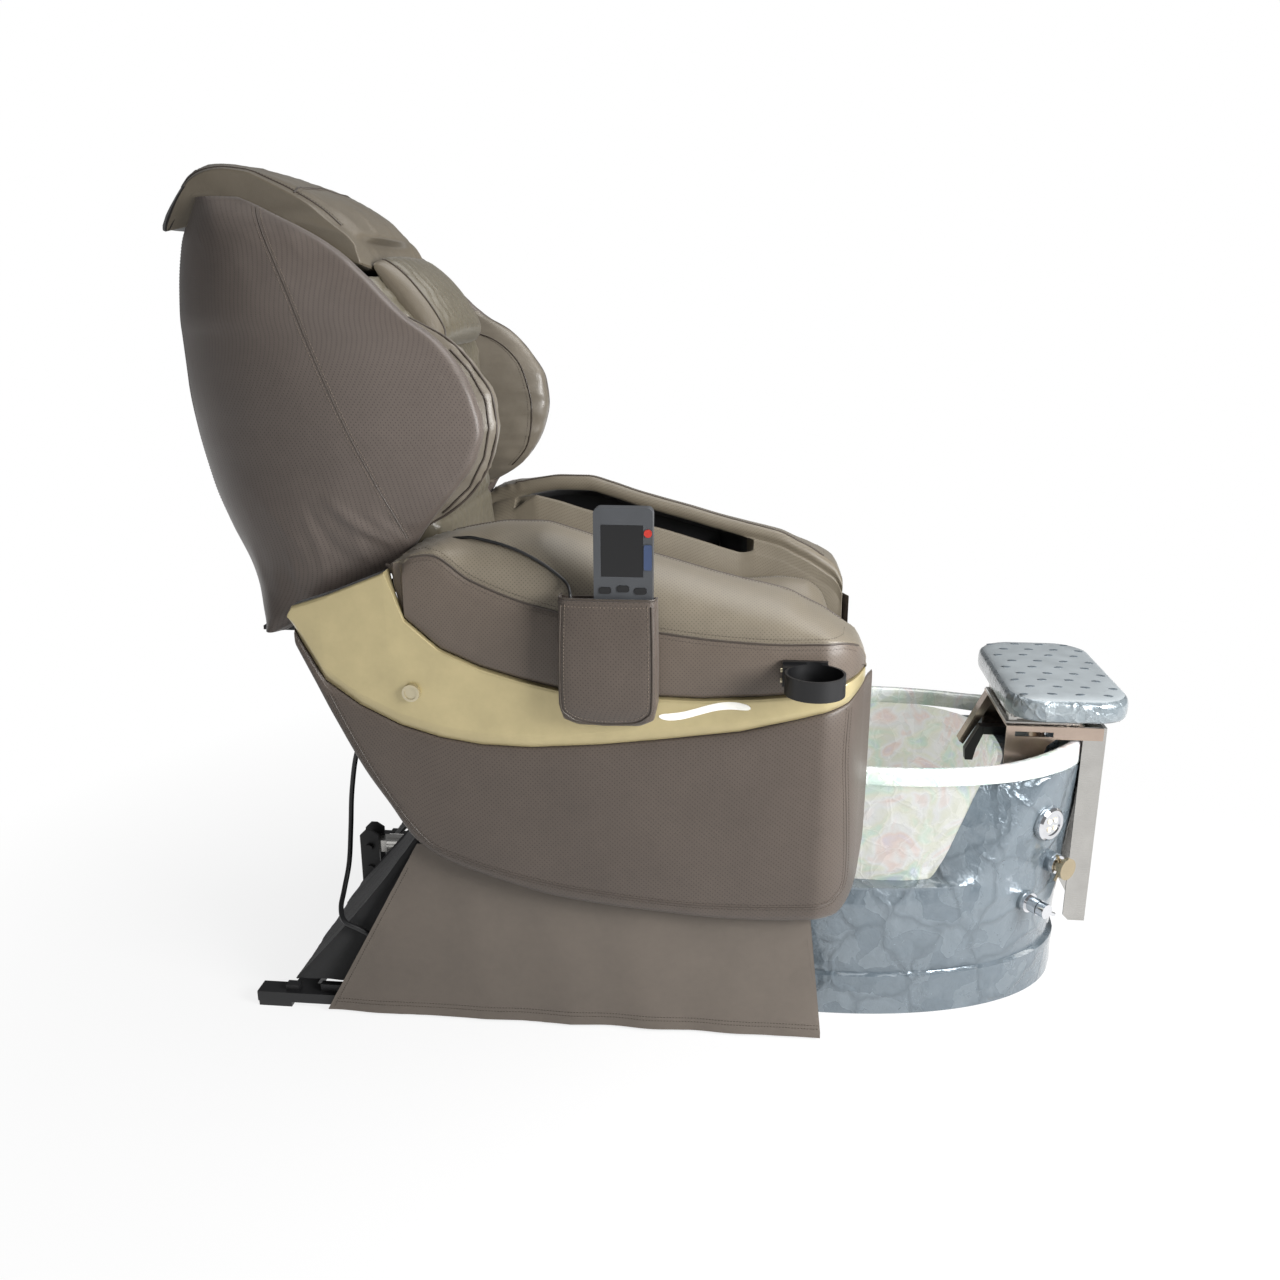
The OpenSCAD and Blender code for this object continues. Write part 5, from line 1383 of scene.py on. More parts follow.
        for z in spread([582, 594, 620, 700, 785], 5):
            rings.append(ring(z, 0))
        for z in spread([785, 700, 634], 8):
            rings.append(ring(z, 2.6))
        mesh = loft("pocket_cover", np.array(rings))
        mesh.materials.append(finish("panel_leather"))
        shift(mesh, lambda p, n: np.where(p[:, 1] < -385, 0.9 * noise(p, 34, 51), 0))
        piece = dress(new_piece("pocket_cover", mesh), "carriage", "remote_pocket")
        edge = [(-97, 778), (-99, 700), (-99, 622), (-90, 604), (-70, 592), (-30, 588), (12, 592),
                (32, 604), (40, 622),
                (41, 700), (39, 778)]
        self.seams.pipe(from_side(piece, edge, Side.RIGHT, 0.6), 1.6)
        self.seams.pipe(np.array([ring(787, 1.2)[k] for k in range(0, 18)]), 1.9)
        inner = beside(resample(np.array(edge, float), 8), 6)
        self.seams.stitch(from_side(piece, inner, Side.RIGHT, 0.3), "thread_light")
        self.seams.stitch(from_side(piece, [(-96, 776), (38, 776)], Side.RIGHT, 0.3), "thread_light")

    def cords(self) -> None:
        """Makes the remote's cord and the cable behind the seat."""
        for name, node, route, width in (
            ("remote_lead", "remote_cord", self.cord, 5.0), ("seat_lead", "rear_cable", self.cable, 9.0)):
            path = catmull(route, 8)
            piece = new_piece(name, tube(name, path, width / 2, 14), finish("cord_rubber"))
            dress(piece, "carriage", node)

    def lights(self) -> None:
        """Makes the pale wave strips on the trims."""
        for side in Side:
            top, low = [], []
            for x in np.linspace(48.5, 189.5, 40):
                z = 600 - 8 * math.sin(math.radians((x - 20) * 2)) + (x - 34) * 0.06
                half = 6 * math.sqrt(max(0.02, 1 - abs((x - 119) / 71) ** 8))
                top.append((x, z + half))
                low.append((x, z - half))
            rings = []
            for (x, a), (_, b) in zip(top, low):
                rings.append([(x, side.value * y, z) for y, z in (
                    (376.3, b), (377.3, b), (377.9, b + 1.2), (378.1, (a + b) / 2), (377.9, a - 1.2),
                    (377.3, a), (376.3, a))])
            strip = loft("light", np.array(rings))
            piece = new_piece(f"light_{side.word}", strip, finish("white_light"))
            dress(piece, "carriage", "light_strips")

    def build(self) -> None:
        """Makes the carriage's pieces; its cords and the pieces of its seams are made in main."""
        for side in Side:
            Arm(side, self.seams).build()
            SidePanel(side, self.seams).build()
            Trim(side).build()
            self.skirt(side)
        self.seat()
        self.back_curtain()
        self.pocket()
        self.lights()


# ---------------------------------------------------------------- the back


def ridge(p: Array, line: Rows, wide: float) -> Array:
    """Height of a soft ridge along a line of (x, z) places, fading at its ends."""
    q, places = p[:, [0, 2]], np.asarray(line, float)
    best, along = np.full(len(p), np.inf), np.zeros(len(p))
    for k, (a, b) in enumerate(zip(places[:-1], places[1:])):
        t = np.clip((q - a) @ (b - a) / ((b - a) @ (b - a)), 0, 1)
        gap = np.linalg.norm(q - a - t[:, None] * (b - a), axis=1)
        near = gap < best
        best[near], along[near] = gap[near], (k + t[near]) / (len(places) - 1)
    return np.exp(-((best / wide) ** 2)) * np.sqrt(np.sin(math.pi * np.clip(along, 0.02, 0.98)))


@dataclass
class Back:
    """The reclining back: shell, wings, pad, hood and pillow."""

    seams: Seams = field(default_factory=lambda: Seams("back"))
    front: Rows = (
        (690, -585), (720, -530), (760, -452), (800, -394), (837, -362), (862, -345), (887, -326),
        (927, -292), (974, -259), (1021, -245), (1066, -255), (1111, -277), (1156, -314), (1188, -359),
        (1214, -388), (1257, -432), (1300, -490), (1335, -562), (1370, -642))
    rear: Rows = (
        (690, -632), (723, -662), (786, -700), (847, -737), (916, -767), (1001, -789), (1085, -799),
        (1166, -800), (1230, -793), (1300, -778), (1335, -762), (1370, -742))
    width: Rows = ((690, 328), (850, 333), (1000, 333), (1100, 329), (1200, 317), (1300, 288), (1335, 262),
                   (1370, 222))
    wall: Rows = ((690, 20), (720, 28), (760, 34), (850, 38), (1300, 36), (1370, 28))
    folds: tuple = (
        ((-487, 913), (-455, 885), (-416, 860), (-374, 838)),
        ((-425, 896), (-399, 874), (-372, 852), (-360, 840)), ((-526, 912), (-483, 841), (-452, 809)))
    lean: float = math.atan(BACK_SLOPE)
    pillow_half: float = 148
    pad_half: float = 198
    rib_pitch: float = 34
    wave_pitch: float = 19.5

    def at(self, z: float, a: float, t: float) -> Point:
        """Point on the shell at height z and angle a in degrees, t inside its outer face."""
        c, s = abs(math.cos(math.radians(a))) ** 0.8, abs(math.sin(math.radians(a))) ** 0.8
        xf, f = curved(z, self.front), 1 - c
        y = (curved(z, self.width) - t) * math.copysign(s, a) * (1 - 0.13 * f * f)
        return (xf + (curved(z, self.rear) + t - xf) * c, y, z)

    def shell(self) -> None:
        """Makes the curved shell with its long double seams and its folds."""
        shares = np.concatenate([np.linspace(0, 1, 70), np.cos(np.radians(np.linspace(4, 60, 15))) ** 0.8])
        half = np.degrees(np.arccos(np.sort(shares) ** 1.25))
        half = half[np.append(True, np.abs(np.diff(half)) > 0.2)]
        angles = [*(-half), *half[::-1][1:]]
        rings = []
        for z in spread([690, 700, 1188, 1300, 1370], 6.5):
            t = curved(z, self.wall)
            outer = [self.at(z, a, 0) for a in angles]
            inner = [self.at(z, a, t) for a in reversed(angles)]
            lip = []
            for a, b in ((outer[-1], inner[0]), (inner[-1], outer[0])):
                arc = [((a[0] + b[0]) / 2 + min(9, 0.3 * t) * math.sin(u),
                        mix(a[1], b[1], (1 - math.cos(u)) / 2), z)
                       for u in np.radians([30, 60, 90, 120, 150])]
                lip.append(arc)
            rings.append(outer + lip[0] + inner + lip[1])
        mesh = capped_flat("shell_cover", np.array(rings))
        mesh.materials.append(finish("shell_leather"))

        def folds(p: Array, n: Array) -> Array:
            """Slow unevenness, and slanting folds low down and along the front edge."""
            outside = smooth((np.abs(p[:, 1]) - 200) / 40)
            low = smooth((960 - p[:, 2]) / 160) * smooth((p[:, 2] - 690) / 30)
            q = np.column_stack([p[:, 0] * 0.9 + p[:, 2] * 0.5, p[:, 1] * 0.3,
                                 p[:, 2] * 0.25 - p[:, 0] * 0.3])
            slant = creases(q, 46, 61, sharp=1.6)
            upper = smooth((p[:, 2] - 1180) / 80) * creases(q, 60, 66, sharp=1.4)
            edge = smooth((p[:, 0] - follow(p[:, 2], self.front) + 60) / 50)
            pulls = edge * noise(p * np.array([0.4, 1, 2.4]), 40, 63)
            ridges = 5.5 * ridge(p, self.folds[0], 8) + 5 * ridge(p, self.folds[1],
                                                                  7) - 3 * ridge(p, self.folds[2], 9)
            return 1.4 * noise(p, 150,
                               62) + outside * (3.2 * low * slant + 1.6 * upper + 1.2 * pulls + ridges)

        shift(mesh, folds)
        piece = dress(new_piece("shell_cover", mesh), "back", "back_shell")
        line = [(-600, 1356), (-568, 1306), (-536, 1243), (-504, 1163), (-471, 1082), (-438, 1007),
                (-405, 940), (-380, 890), (-362, 850)]
        rear = [(-736, 1352), (-752, 1290), (-760, 1200), (-760, 1085), (-748, 980), (-722, 880),
                (-690, 800), (-655, 730)]
        for side in Side:
            self.seams.pipe(from_side(piece, line, side, -0.3), 1.0)
            coarse = resample(np.array(line, float), 20)
            self.seams.both_sides(piece, coarse, side, 4.5, 0.3, "thread_light")
            self.seams.stitch(from_side(piece, rear, side, 0.2), "thread")
            rim = []
            for z in spread([740, 1330], 8):
                t = curved(z, self.wall)
                x, y, _ = self.at(z, 90, 0)
                rim.append((x + 3.2, side.value * (abs(y) - t * 0.25), z))
            self.seams.pipe(np.array(rim), 2.2)

    def wing(self, side: Side) -> None:
        """Makes one shoulder wing: a crinkled pad with a piped rim."""
        thick = ((862, 14), (887, 34), (927, 50), (1000, 56), (1066, 56), (1111, 48), (1156, 32),
                 (1188, 12))
        rim_x = ((862, -340), (887, -296), (927, -254), (974, -229), (1021, -219), (1066, -224),
                 (1111, -250), (1156, -292), (1188, -352))
        rings, rims = [], []
        for z in spread([862, 1188], 6):
            w, xr, t = curved(z, thick), curved(z, rim_x), curved(z, self.wall)
            wall = []
            for k in np.linspace(0, 3, 7):
                x, y, _ = self.at(z, -90 + k * 0.7 * w / 56 * 11.25, t)
                wall.append((x + 0.3, y + 1.4, z))
            (x0, y0, _), (x3, y3, _) = wall[0], wall[-1]
            yi = y0 + w
            rings.append(wall + [
                (x3 + 7, mix(y3, yi, 0.5), z), (x3 + 16, mix(y3, yi, 0.8), z),
                (x3 + 30, mix(y3, yi, 0.96), z),
                (mix(x3, xr, 0.5), yi, z), (mix(x3, xr, 0.7), yi - 1, z),
                (mix(x3, xr, 0.86), mix(y0, yi, 0.94), z),
                (xr - 6, mix(y0, yi, 0.8), z), (xr, mix(y0, yi, 0.5), z), (xr - 4, mix(y0, yi, 0.2), z),
                (x0 + 4.5, y0 + 2.0, z)])
            rims.append((xr - 3, mix(y0, yi, 0.26), z))
        mesh = loft("wing", rounded(placed(rings, side), 2), swell=6)
        mesh.materials.append(finish("wing_leather"))

        def crinkle(p: Array, n: Array) -> Array:
            """Small puckers that run in from the rim."""
            q = np.column_stack([p[:, 0] * 0.35, p[:, 1] * 0.5, p[:, 2]])
            free = smooth((300 - np.abs(p[:, 1])) / 30)
            return free * (2.6 * creases(q, 26, 71 + side.value, sharp=1.4) - 0.9 + 1.2 * noise(p, 30, 72))

        shift(mesh, crinkle)
        piece = new_piece(f"wing_{side.word}", mesh)
        dress(piece, "back", "shoulder_wings")
        self.seams.pipe(placed([rims], side)[0], 2.0)
        line = [(straight(z, rim_x) - 13, z) for z in spread([885, 1140], 8)]
        self.seams.pipe(from_side(piece, line, side, 0.4), 1.8)
        inset = resample(np.array([(-385, 1160), (-321, 1140), (-276, 1102), (-256, 1052), (-250, 1001),
                                   (-262, 938), (-295, 898)], float), 10)
        starts = np.array([(x, 0, z) for x, z in inset])
        path = cast(piece, starts, (0, side.value, 0), 0.3)
        self.seams.pipe(path, 1.4)
        starts[:, 0] -= 7
        self.seams.stitch(cast(piece, starts, (0, side.value, 0), 0.3), "thread")

    def pad(self) -> None:
        """Makes the long back pad: quilted in slanting ribs, with cross channels."""
        face = ((664, -318), (700, -312), (760, -316), (850, -324), (950, -331), (1050, -336), (1120, -338),
                (1134, -341.6), (1250, -425.6))
        side_rows = ((1, -56), (0.985, -30), (0.93, -11), (0.82, -3), (0.7, 0), (0.5, 0), (0.36, 0),
                     (0.32, 0), (0.28, 0), (0.14, 0))
        rings = []
        for z in spread([664, 676, 1240, 1250], 5):
            ends = eased((672 - z) / 8) + eased((z - 1242) / 8)
            xf = curved(z, face) - 8 * eased((672 - z) / 8)
            xr = -500 - BACK_SLOPE * (z - 720) + 108 / math.cos(self.lean)
            wide = self.pad_half - 5 * ends
            half = [(wide * w, max(xf + d, xr + 14)) for w, d in side_rows]
            edge = wide - 6
            rings.append([(xr, -edge, z)] + [(x, -y, z) for y, x in half] + [(x, y, z) for y,
                                                                             x in reversed(half)]
                         + [(xr, edge, z)])
        mesh = loft("pad", rounded(np.array(rings), 2))
        mesh.materials.append(finish("quilt_leather"))

        def quilt(p: Array, n: Array) -> Array:
            """Ribs that slant both ways, and deeper lines across."""
            front = smooth((n[:, 0] - 0.2) / 0.4) * (np.abs(p[:, 1]) < 190)
            a, b = (p[:, 1] + p[:, 2]) / self.rib_pitch, (p[:, 1] - p[:, 2]) / self.rib_pitch
            cell = np.minimum(np.abs(a - np.round(a)), np.abs(b - np.round(b)))
            ribs = 2.8 * np.minimum(cell * 5, 1) - 2.2
            across = np.min(np.abs(p[:, 2][:, None] - np.array([760, 860, 960, 1060])), axis=1)
            return front * (ribs - 5 * np.exp(-((across / 6) ** 2)))

        shift(mesh, quilt)
        dress(new_piece("back_pad_cover", mesh), "back", "back_pad")

    def hood(self) -> None:
        """Makes the soft head cover with its dark rear flap."""
        middle = np.array([
            (-427, 1250.6), (-446, 1277), (-464, 1301), (-454, 1308), (-444, 1316), (-467, 1346),
            (-518, 1378), (-569, 1398), (-638, 1422), (-690, 1433), (-735, 1431), (-770, 1402),
            (-797, 1366), (-818, 1330), (-812, 1327), (-791, 1362), (-765, 1395), (-735, 1413),
            (-690, 1404), (-640, 1384), (-590, 1342),
            (-540, 1295), (-500, 1250.6)])
        edge = np.array([
            (-440, 1262), (-447, 1285), (-452, 1298), (-462, 1312), (-478, 1324), (-510, 1350),
            (-545, 1373), (-585, 1395), (-630, 1410), (-672, 1413), (-710, 1402), (-732, 1378),
            (-749, 1350), (-764, 1320), (-758, 1317), (-742, 1344), (-724, 1368), (-704, 1380),
            (-667, 1380), (-630, 1377), (-590, 1360),
            (-540, 1330), (-496, 1292)])
        rings = []
        for s in np.sin(np.linspace(-math.pi / 2, math.pi / 2, 60)):
            b = abs(s) ** 2.3
            rings.append([(x, s * 186, z) for x, z in middle * (1 - b) + edge * b])
        mesh = loft("hood", rounded(np.array(rings), 2), swell=3)
        mesh.materials.append(finish("plain_leather"))
        paint(mesh, finish("flap_leather"), lambda p,
              n: p[:, 0] < -753 + 31 * (np.abs(p[:, 1]) / 186) ** 2.3)

        def folds(p: Array, n: Array) -> Array:
            """Creases that run back from the pillow, and slack along the sides."""
            q = np.column_stack([p[:, 0] * 0.4, p[:, 1], p[:, 2] * 0.4])
            top = smooth((n[:, 2] - 0.1) / 0.4)
            return top * (3.0 * creases(q, 44, 81, sharp=1.5) - 1.2) + 1.2 * noise(p, 60, 82)

        shift(mesh, folds)
        piece = dress(new_piece("hood", mesh), "back", "head_hood")
        lines = [np.array([(x + 0.0004 * y * y, y, 1600) for y in spread([-178, 178], 6)])
                 for x in (-560, -742)]
        lines += [np.array([(x, side.value * 168, 1600) for x in spread([-728, -478], 6)]) for side in Side]
        for starts, shift_by in zip(lines, ((6, 0), (6, 0), (0, 7), (0, -7))):
            self.seams.pipe(cast(piece, starts, (0, 0, -1), 0.4), 1.5)
            starts[:, :2] += shift_by
            self.seams.stitch(cast(piece, starts, (0, 0, -1), 0.3), "thread")

    def pillow(self) -> None:
        """Makes the head pillow with slanting sewn waves and a plain dark band."""
        lean = math.atan(1 / 0.724)
        down, out = np.array([math.cos(lean), -math.sin(lean)]), np.array([math.sin(lean), math.cos(lean)])
        top, long, thick = np.array([-443.0, 1275.0]), 172.0, 52.0
        rings = []
        for s in np.sin(np.linspace(-math.pi / 2, math.pi / 2, 61)):
            r = math.sqrt(max(0, 1 - abs(s) ** 2.8))
            h, e = 8 + (thick - 8) * r, 9 * (1 - r)
            ring = []
            for u, v in ((e + 4, 0.6), (e, 4), (e + 1, h * 0.3), (e + 7, h * 0.52), (e + 24, h * 0.74),
                         (long * 0.32, h * 0.92),
                         (long * 0.5, h), (long * 0.68, h), (long - e - 18, h * 0.92),
                         (long - e - 5, h * 0.7),
                         (long - e, h * 0.38), (long - e, 5), (long - e - 4, 0.6), (long * 0.6, 0.6),
                         (long * 0.3, 0.6)):
                x, z = top + down * u + out * v
                ring.append((x, s * self.pillow_half, z))
            rings.append(ring)
        mesh = loft("pillow", rounded(np.array(rings), 3), swell=2)
        mesh.materials.append(finish("quilt_leather"))
        paint(mesh, finish("plain_leather"), lambda p, n: np.abs(p[:, 1]) > 127)

        def above(u: float) -> Array:
            """Place in X and Z well above the face, u down it."""
            return top + down * u + out * 120

        def quilt(p: Array, n: Array) -> Array:
            """Sewn waves on the front face."""
            u, y = (np.column_stack([p[:, 0], p[:, 2]]) - top) @ down, p[:, 1]
            facing = smooth((n[:, 0] * out[0] + n[:, 2] * out[1] - 0.5) / 0.3)
            row = (y + 0.12 * u + 3 * np.sin(u * 0.13)) / self.wave_pitch
            sewn = 3.0 * np.minimum(np.abs(row - np.round(row)) * 4, 1) - 2.2
            return facing * np.where(np.abs(y) < 122, sewn, 0.4) + 0.6 * noise(p, 40, 91)

        shift(mesh, quilt)
        piece = dress(new_piece("pillow_cover", mesh), "pillow", "head_pillow")
        seams = Seams("pillow")
        for k in range(-6, 8):
            line = []
            for u in spread([10, 160], 4):
                (x, z), y = above(u), self.wave_pitch * k - 0.12 * u - 3 * math.sin(u * 0.13)
                if abs(y) < 124:
                    line.append((x, y, z))
            if len(line) > 4:
                seams.stitch(cast(piece, np.array(line), (-out[0], 0, -out[1]), 0.2), "thread_light")
        for y in (-127, 127):
            starts = np.array([(above(u)[0], y, above(u)[1]) for u in spread([8, 164], 5)])
            seams.pipe(cast(piece, starts, (-out[0], 0, -out[1]), 0.4), 1.6)
        seams.build(bpy.data.node_groups["StitchRow"])

    def build(self) -> None:
        """Makes the back's pieces; the pieces of the seams it gathers in self.seams are made in main."""
        self.shell()
        for side in Side:
            self.wing(side)
        self.pad()
        self.hood()
        self.pillow()


# ---------------------------------------------------------------- the basin


@dataclass
class Basin:
    """The foot basin: crumpled shell, pearly bowl, rim and deck."""

    back_x: float = 284.3
    arc: int = 260
    widths: Rows = ((0, 255), (75, 255), (79, 248), (150, 252), (215, 250), (236, 238), (330, 227),
                    (425, 222))
    fronts: Rows = ((0, 776), (75, 776), (79, 768), (150, 774), (215, 780), (330, 792), (425, 800))
    turns: Rows = ((0, 330), (150, 335), (236, 365), (425, 430))
    hole_w: Rows = ((150, 168), (172, 190), (220, 204), (425, 216))
    hole_x: Rows = ((150, 560), (172, 596), (220, 620), (425, 652))

    def outline(self, xb: float, w: float, x0: float, xf: float, n: float, z: float, count: int) -> Array:
        """Plan outline at height z: straight back, rounded front."""
        a = np.radians(np.linspace(-90, 90, count + 1))
        c, s = np.abs(np.cos(a)), np.abs(np.sin(a))
        x = x0 + (xf - x0) * c ** (2 / n)
        y = w * np.sign(a) * s ** (2 / n)
        lead = np.linspace(0, 1, 13)[:-1]
        lx, ly = xb + (x0 - xb) * lead, w * (0.985 + 0.015 * lead)
        rear = np.linspace(0.95, -0.95, 25) * w * 0.985
        px = np.concatenate([lx, x, lx[::-1], np.full(25, xb)])
        py = np.concatenate([-ly, y, ly[::-1], rear])
        return np.column_stack([px, py, np.full(len(px), z)])

    def outer(self, z: float) -> Array:
        """Outer outline at height z."""
        return self.outline(self.back_x, straight(z, self.widths), straight(z, self.turns),
                            straight(z, self.fronts),
                            2.15, z, self.arc)

    def hollow(self, z: float, inset: float) -> Array:
        """Outline of the hollow at height z, drawn in by inset."""
        return self.outline(300 + inset, curved(z, self.hole_w) - inset, 420,
                            curved(z, self.hole_x) - inset, 2.4, z, self.arc)

    def body(self) -> None:
        """Makes the crumpled outer shell with its cut-away sides."""
        rings = [self.outer(z) for z in (0, 3, *spread([8, 75], 6), 77, 79, *spread([83, 215], 5))]
        base = self.outer(240)
        for t in np.linspace(0, 1, 40):
            top = 240 + 185 * smooth((base[:, 0] - 585) / 105)
            z = 236 + (top - 236) * t
            ring = base.copy()
            levels = np.array([0, 75, 79, 150, 215, 236, 330, 425], float)
            table = np.array([self.outer(h) for h in levels])
            for k in range(2):
                ring[:, k] = [np.interp(zz, levels, table[:, i, k]) for i, zz in enumerate(z)]
            ring[:, 2] = z
            rings.append(ring)
        heights = (150, 172, 220, 240, 300, 425)
        grid = np.array([self.hollow(h, 0) for h in heights])
        edge = self.hollow(425, 0)
        zt = 240 + 185 * smooth((edge[:, 0] - 520) / 90)
        for k in range(2):
            edge[:, k] = [np.interp(zz, heights, grid[:, i, k]) for i, zz in enumerate(zt)]
        edge[:, 2] = zt
        outer_edge = rings[-1]
        for t in (0.15, 0.35, 0.6, 0.85):
            rings.append(outer_edge * (1 - t) + edge * t)
        rings += [edge, self.hollow(220, 0), self.hollow(172, 0), self.hollow(150, 0)]
        mesh = loft("basin", np.array(rings))
        mesh.materials.append(finish("basin_foil"))

        def crumple(p: Array, n: Array) -> Array:
            """Sharp random creases on the outside, none on the floor or inside."""
            outside = smooth((p[:, 2] - 2) / 6) * (np.abs(n[:, 2]) < 0.7)
            away = np.hypot(p[:, 0] - 717, p[:, 1] + 147)
            calm = 1 - 0.8 * np.exp(-((away / 60) ** 2)) * (p[:, 1] < 0)
            return outside * calm * (1.7 * creases(p, 62, 101, sharp=1.5) + 0.8 * creases(p, 24, 102,
                                                                                          sharp=1.2) - 0.9)

        shift(mesh, crumple)
        meshes = [mesh]
        for (x, y, z), r, deep in (((717, -147, 334), 32.5, 22), ((740, -134, 250), 19, 24),
                                   ((689, -171, 192), 20, 24)):
            a = math.radians(-53)
            out = np.array([math.cos(a), math.sin(a), 0])
            across = np.array([-out[1], out[0], 0])
            turn = np.linspace(0, 2 * math.pi, 48, endpoint=False)
            boss = []
            for s, share in ((-deep, 1.0), (-4, 1.0), (-1.2, 1.0), (-0.3, 0.985), (0, 0.95)):
                boss.append(np.array([x, y, z]) + out * s + r * share * (
                    np.cos(turn)[:, None] * across + np.sin(turn)[:, None] * np.array([0, 0, 1])))
            lump = loft("boss", np.array(boss))
            lump.materials.append(finish("basin_foil"))
            meshes.append(lump)
        dress(new_piece("basin_shell", joined("basin_shell", meshes)), "base", "basin_body")

    def bowl(self) -> None:
        """Makes the pearly bowl."""
        up, down = spread([172, 200, 425], 8), spread([425, 200, 172], 8)
        floor = self.hollow(150, 8.5)
        floor[:, 2] = 158
        under = self.hollow(150, 0.5)
        under[:, 2] = 150.5
        rings = [under, *[self.hollow(z, 0.5) for z in up], *[self.hollow(z, 8.5) for z in down], floor]
        for share in (0.8, 0.55, 0.3, 0.12):
            inner = floor * share + floor.mean(axis=0) * (1 - share)
            inner[:, 2] = 158
            rings.append(inner)
        mesh = loft("bowl", np.array(rings))
        mesh.materials.append(finish("bowl_pearl"))
        shift(mesh, lambda p, n: np.where((p[:, 2] > 162) & (np.abs(n[:, 2]) < 0.9),
                                          0.5 * creases(p, 30, 111, sharp=1.2) - 0.4, 0))
        dress(new_piece("bowl", mesh), "base", "basin_bowl")

    def rim(self) -> None:
        """Makes the clear rim band."""
        line = self.outline(294, 224, 430, 804, 2.05, 0, 200)[:, :2]
        count = len(line)
        middle = line.mean(axis=0)
        ahead = np.roll(line, -1, axis=0) - np.roll(line, 1, axis=0)
        ahead /= np.linalg.norm(ahead, axis=1)[:, None]
        inward = np.column_stack([-ahead[:, 1], ahead[:, 0]])
        inward *= np.sign(np.sum(inward * (middle - line), axis=1))[:, None]
        rings = []
        for k in range(count):
            h = 30 + 15 * eased((line[k, 0] - 600) / 200)
            section = ((2.4, 0), (0, 5), (0, h - 9), (0.8, h - 5), (3, h - 1.6), (6, h), (13, h),
                       (16.5, h - 1.6),
                       (19.2, h - 5), (20, h - 9), (20, 5), (17.6, 0))
            rings.append([(*(line[k] + inward[k] * d), 425.3 + z) for d, z in section])
        mesh = loft("rim", np.array(rings), looped=True)
        mesh.materials.append(finish("rim_resin"))
        dress(new_piece("rim", mesh), "base", "basin_rim")

    def deck(self) -> None:
        """Makes the ribbed mound that covers the plumbing on the deck."""
        rings = []
        for t in np.linspace(0, 1, 26):
            f = math.sqrt(1 - 0.93 * t * t) * (1 + 0.02 * math.sin(t * 60))
            z = 425.6 + 59 * t
            a = np.radians(np.arange(0, 360, 5))
            rings.append(np.column_stack([712 + 46 * f * np.cos(a), 47 * f * np.sin(a),
                                          np.full(len(a), z)]))
        mound = new_piece("deck_mound", loft("deck_mound", np.array(rings)), finish("basin_foil"))
        dress(mound, "base", "deck_cover")

    def footrest(self) -> None:
        """Makes the domed footrest pad with its field of dimples."""
        rings = []
        for inset, z in ((9, 531.3), (3, 533), (1, 537), (0, 545), (0, 556), (1, 562), (3, 566), (7, 569.5),
                         (13, 571.8), (24, 573.3), (44, 574.2), (80, 574.8), (101, 575)):
            r = max(62 - inset * 0.62, 1.5)
            x0, x1, w = 627 + inset, 833 - inset, 180 - inset
            ring = []
            for q, (cx, cy) in enumerate(((x1 - r, w - r), (x0 + r, w - r), (x0 + r, r - w),
                                          (x1 - r, r - w))):
                for a in np.radians(np.linspace(q * 90, q * 90 + 90, 17)):
                    ring.append((cx + r * math.cos(a), cy + r * math.sin(a), z))
            rings.append(ring)
        mesh = loft("footrest_pad", np.array(rings))
        mesh.materials.append(finish("pad_side_foil"))
        paint(mesh, finish("pad_rubber"), lambda p, n: p[:, 2] > 570)
        shift(mesh, lambda p, n: np.where((p[:, 2] < 569) & (p[:, 2] > 534),
                                          0.8 * creases(p, 28, 121, sharp=1.2) - 0.4, 0))
        piece = dress(new_piece("footrest_top", mesh), "footrest", "footrest_pad")
        starts = []
        for i in range(9):
            for j in range(4):
                starts.append((660 + 46 * j + (11 if i % 2 else -7), -148 + 37 * i, 700))
        places = cast(piece, np.array(starts, float), (0, 0, -1), 0.1)
        base = bpy.data.meshes.new("dimples")
        base.from_pydata((places * MM).tolist(), [], [])
        marks = grown("footrest_dimples", base, dimple_tree(), {
            "Length": 0.017, "Width": 0.0085, "Height": 0.0016, "Seed": 4, "Finish": finish("dimple_grey")})
        shaded(marks.data, 180)
        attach(marks, "footrest")

    def build(self) -> None:
        """Makes every piece of the basin."""
        self.body()
        self.bowl()
        self.rim()
        self.deck()
        self.footrest()


# ---------------------------------------------------------------- small parts and the stage

HARD_FINISHES: dict[str, str] = {
    "floor_rails": "black_paint", "rail_feet": "cord_rubber", "cross_members": "black_paint",
    "actuator_clevis": "black_paint", "slide_actuator": "steel", "front_panel": "steel",
    "footrest_bracket": "rose_steel", "keypad_bezel": "chrome", "valve_bodies": "chrome",
    "spout": "black_plastic",
    "jet_housing": "case_grey", "jet_rotor": "cream_key", "pipe_fittings": "steel",
    "footrest_slider": "steel",
    "footrest_plate": "steel", "valve_knob": "bronze", "diverter_lever": "chrome", "key_1": "cream_key",
    "key_2": "cream_key", "key_3": "cream_key", "key_4": "cream_key", "seat_frame": "black_paint",
    "arm_liners": "black_plastic", "side_fasteners": "bolt_metal", "cup_holder": "black_plastic",
    "remote_body": "case_grey", "remote_screen": "screen_glass", "remote_power": "red_key",
    "remote_rocker": "blue_key", "remote_key_1": "black_plastic", "remote_key_2": "black_plastic",
    "remote_key_3": "black_plastic", "recline_tube": "black_paint", "recline_rod": "steel",
    "back_frame": "black_paint", "massage_carriage": "black_paint", "massage_rollers": "cream_key",
}


def dress_hard_parts() -> None:
    """Gives every shown frame node its finish."""
    for node, name in HARD_FINISHES.items():
        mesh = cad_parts[node].data
        mesh.materials.clear()
        mesh.materials.append(finish(name))


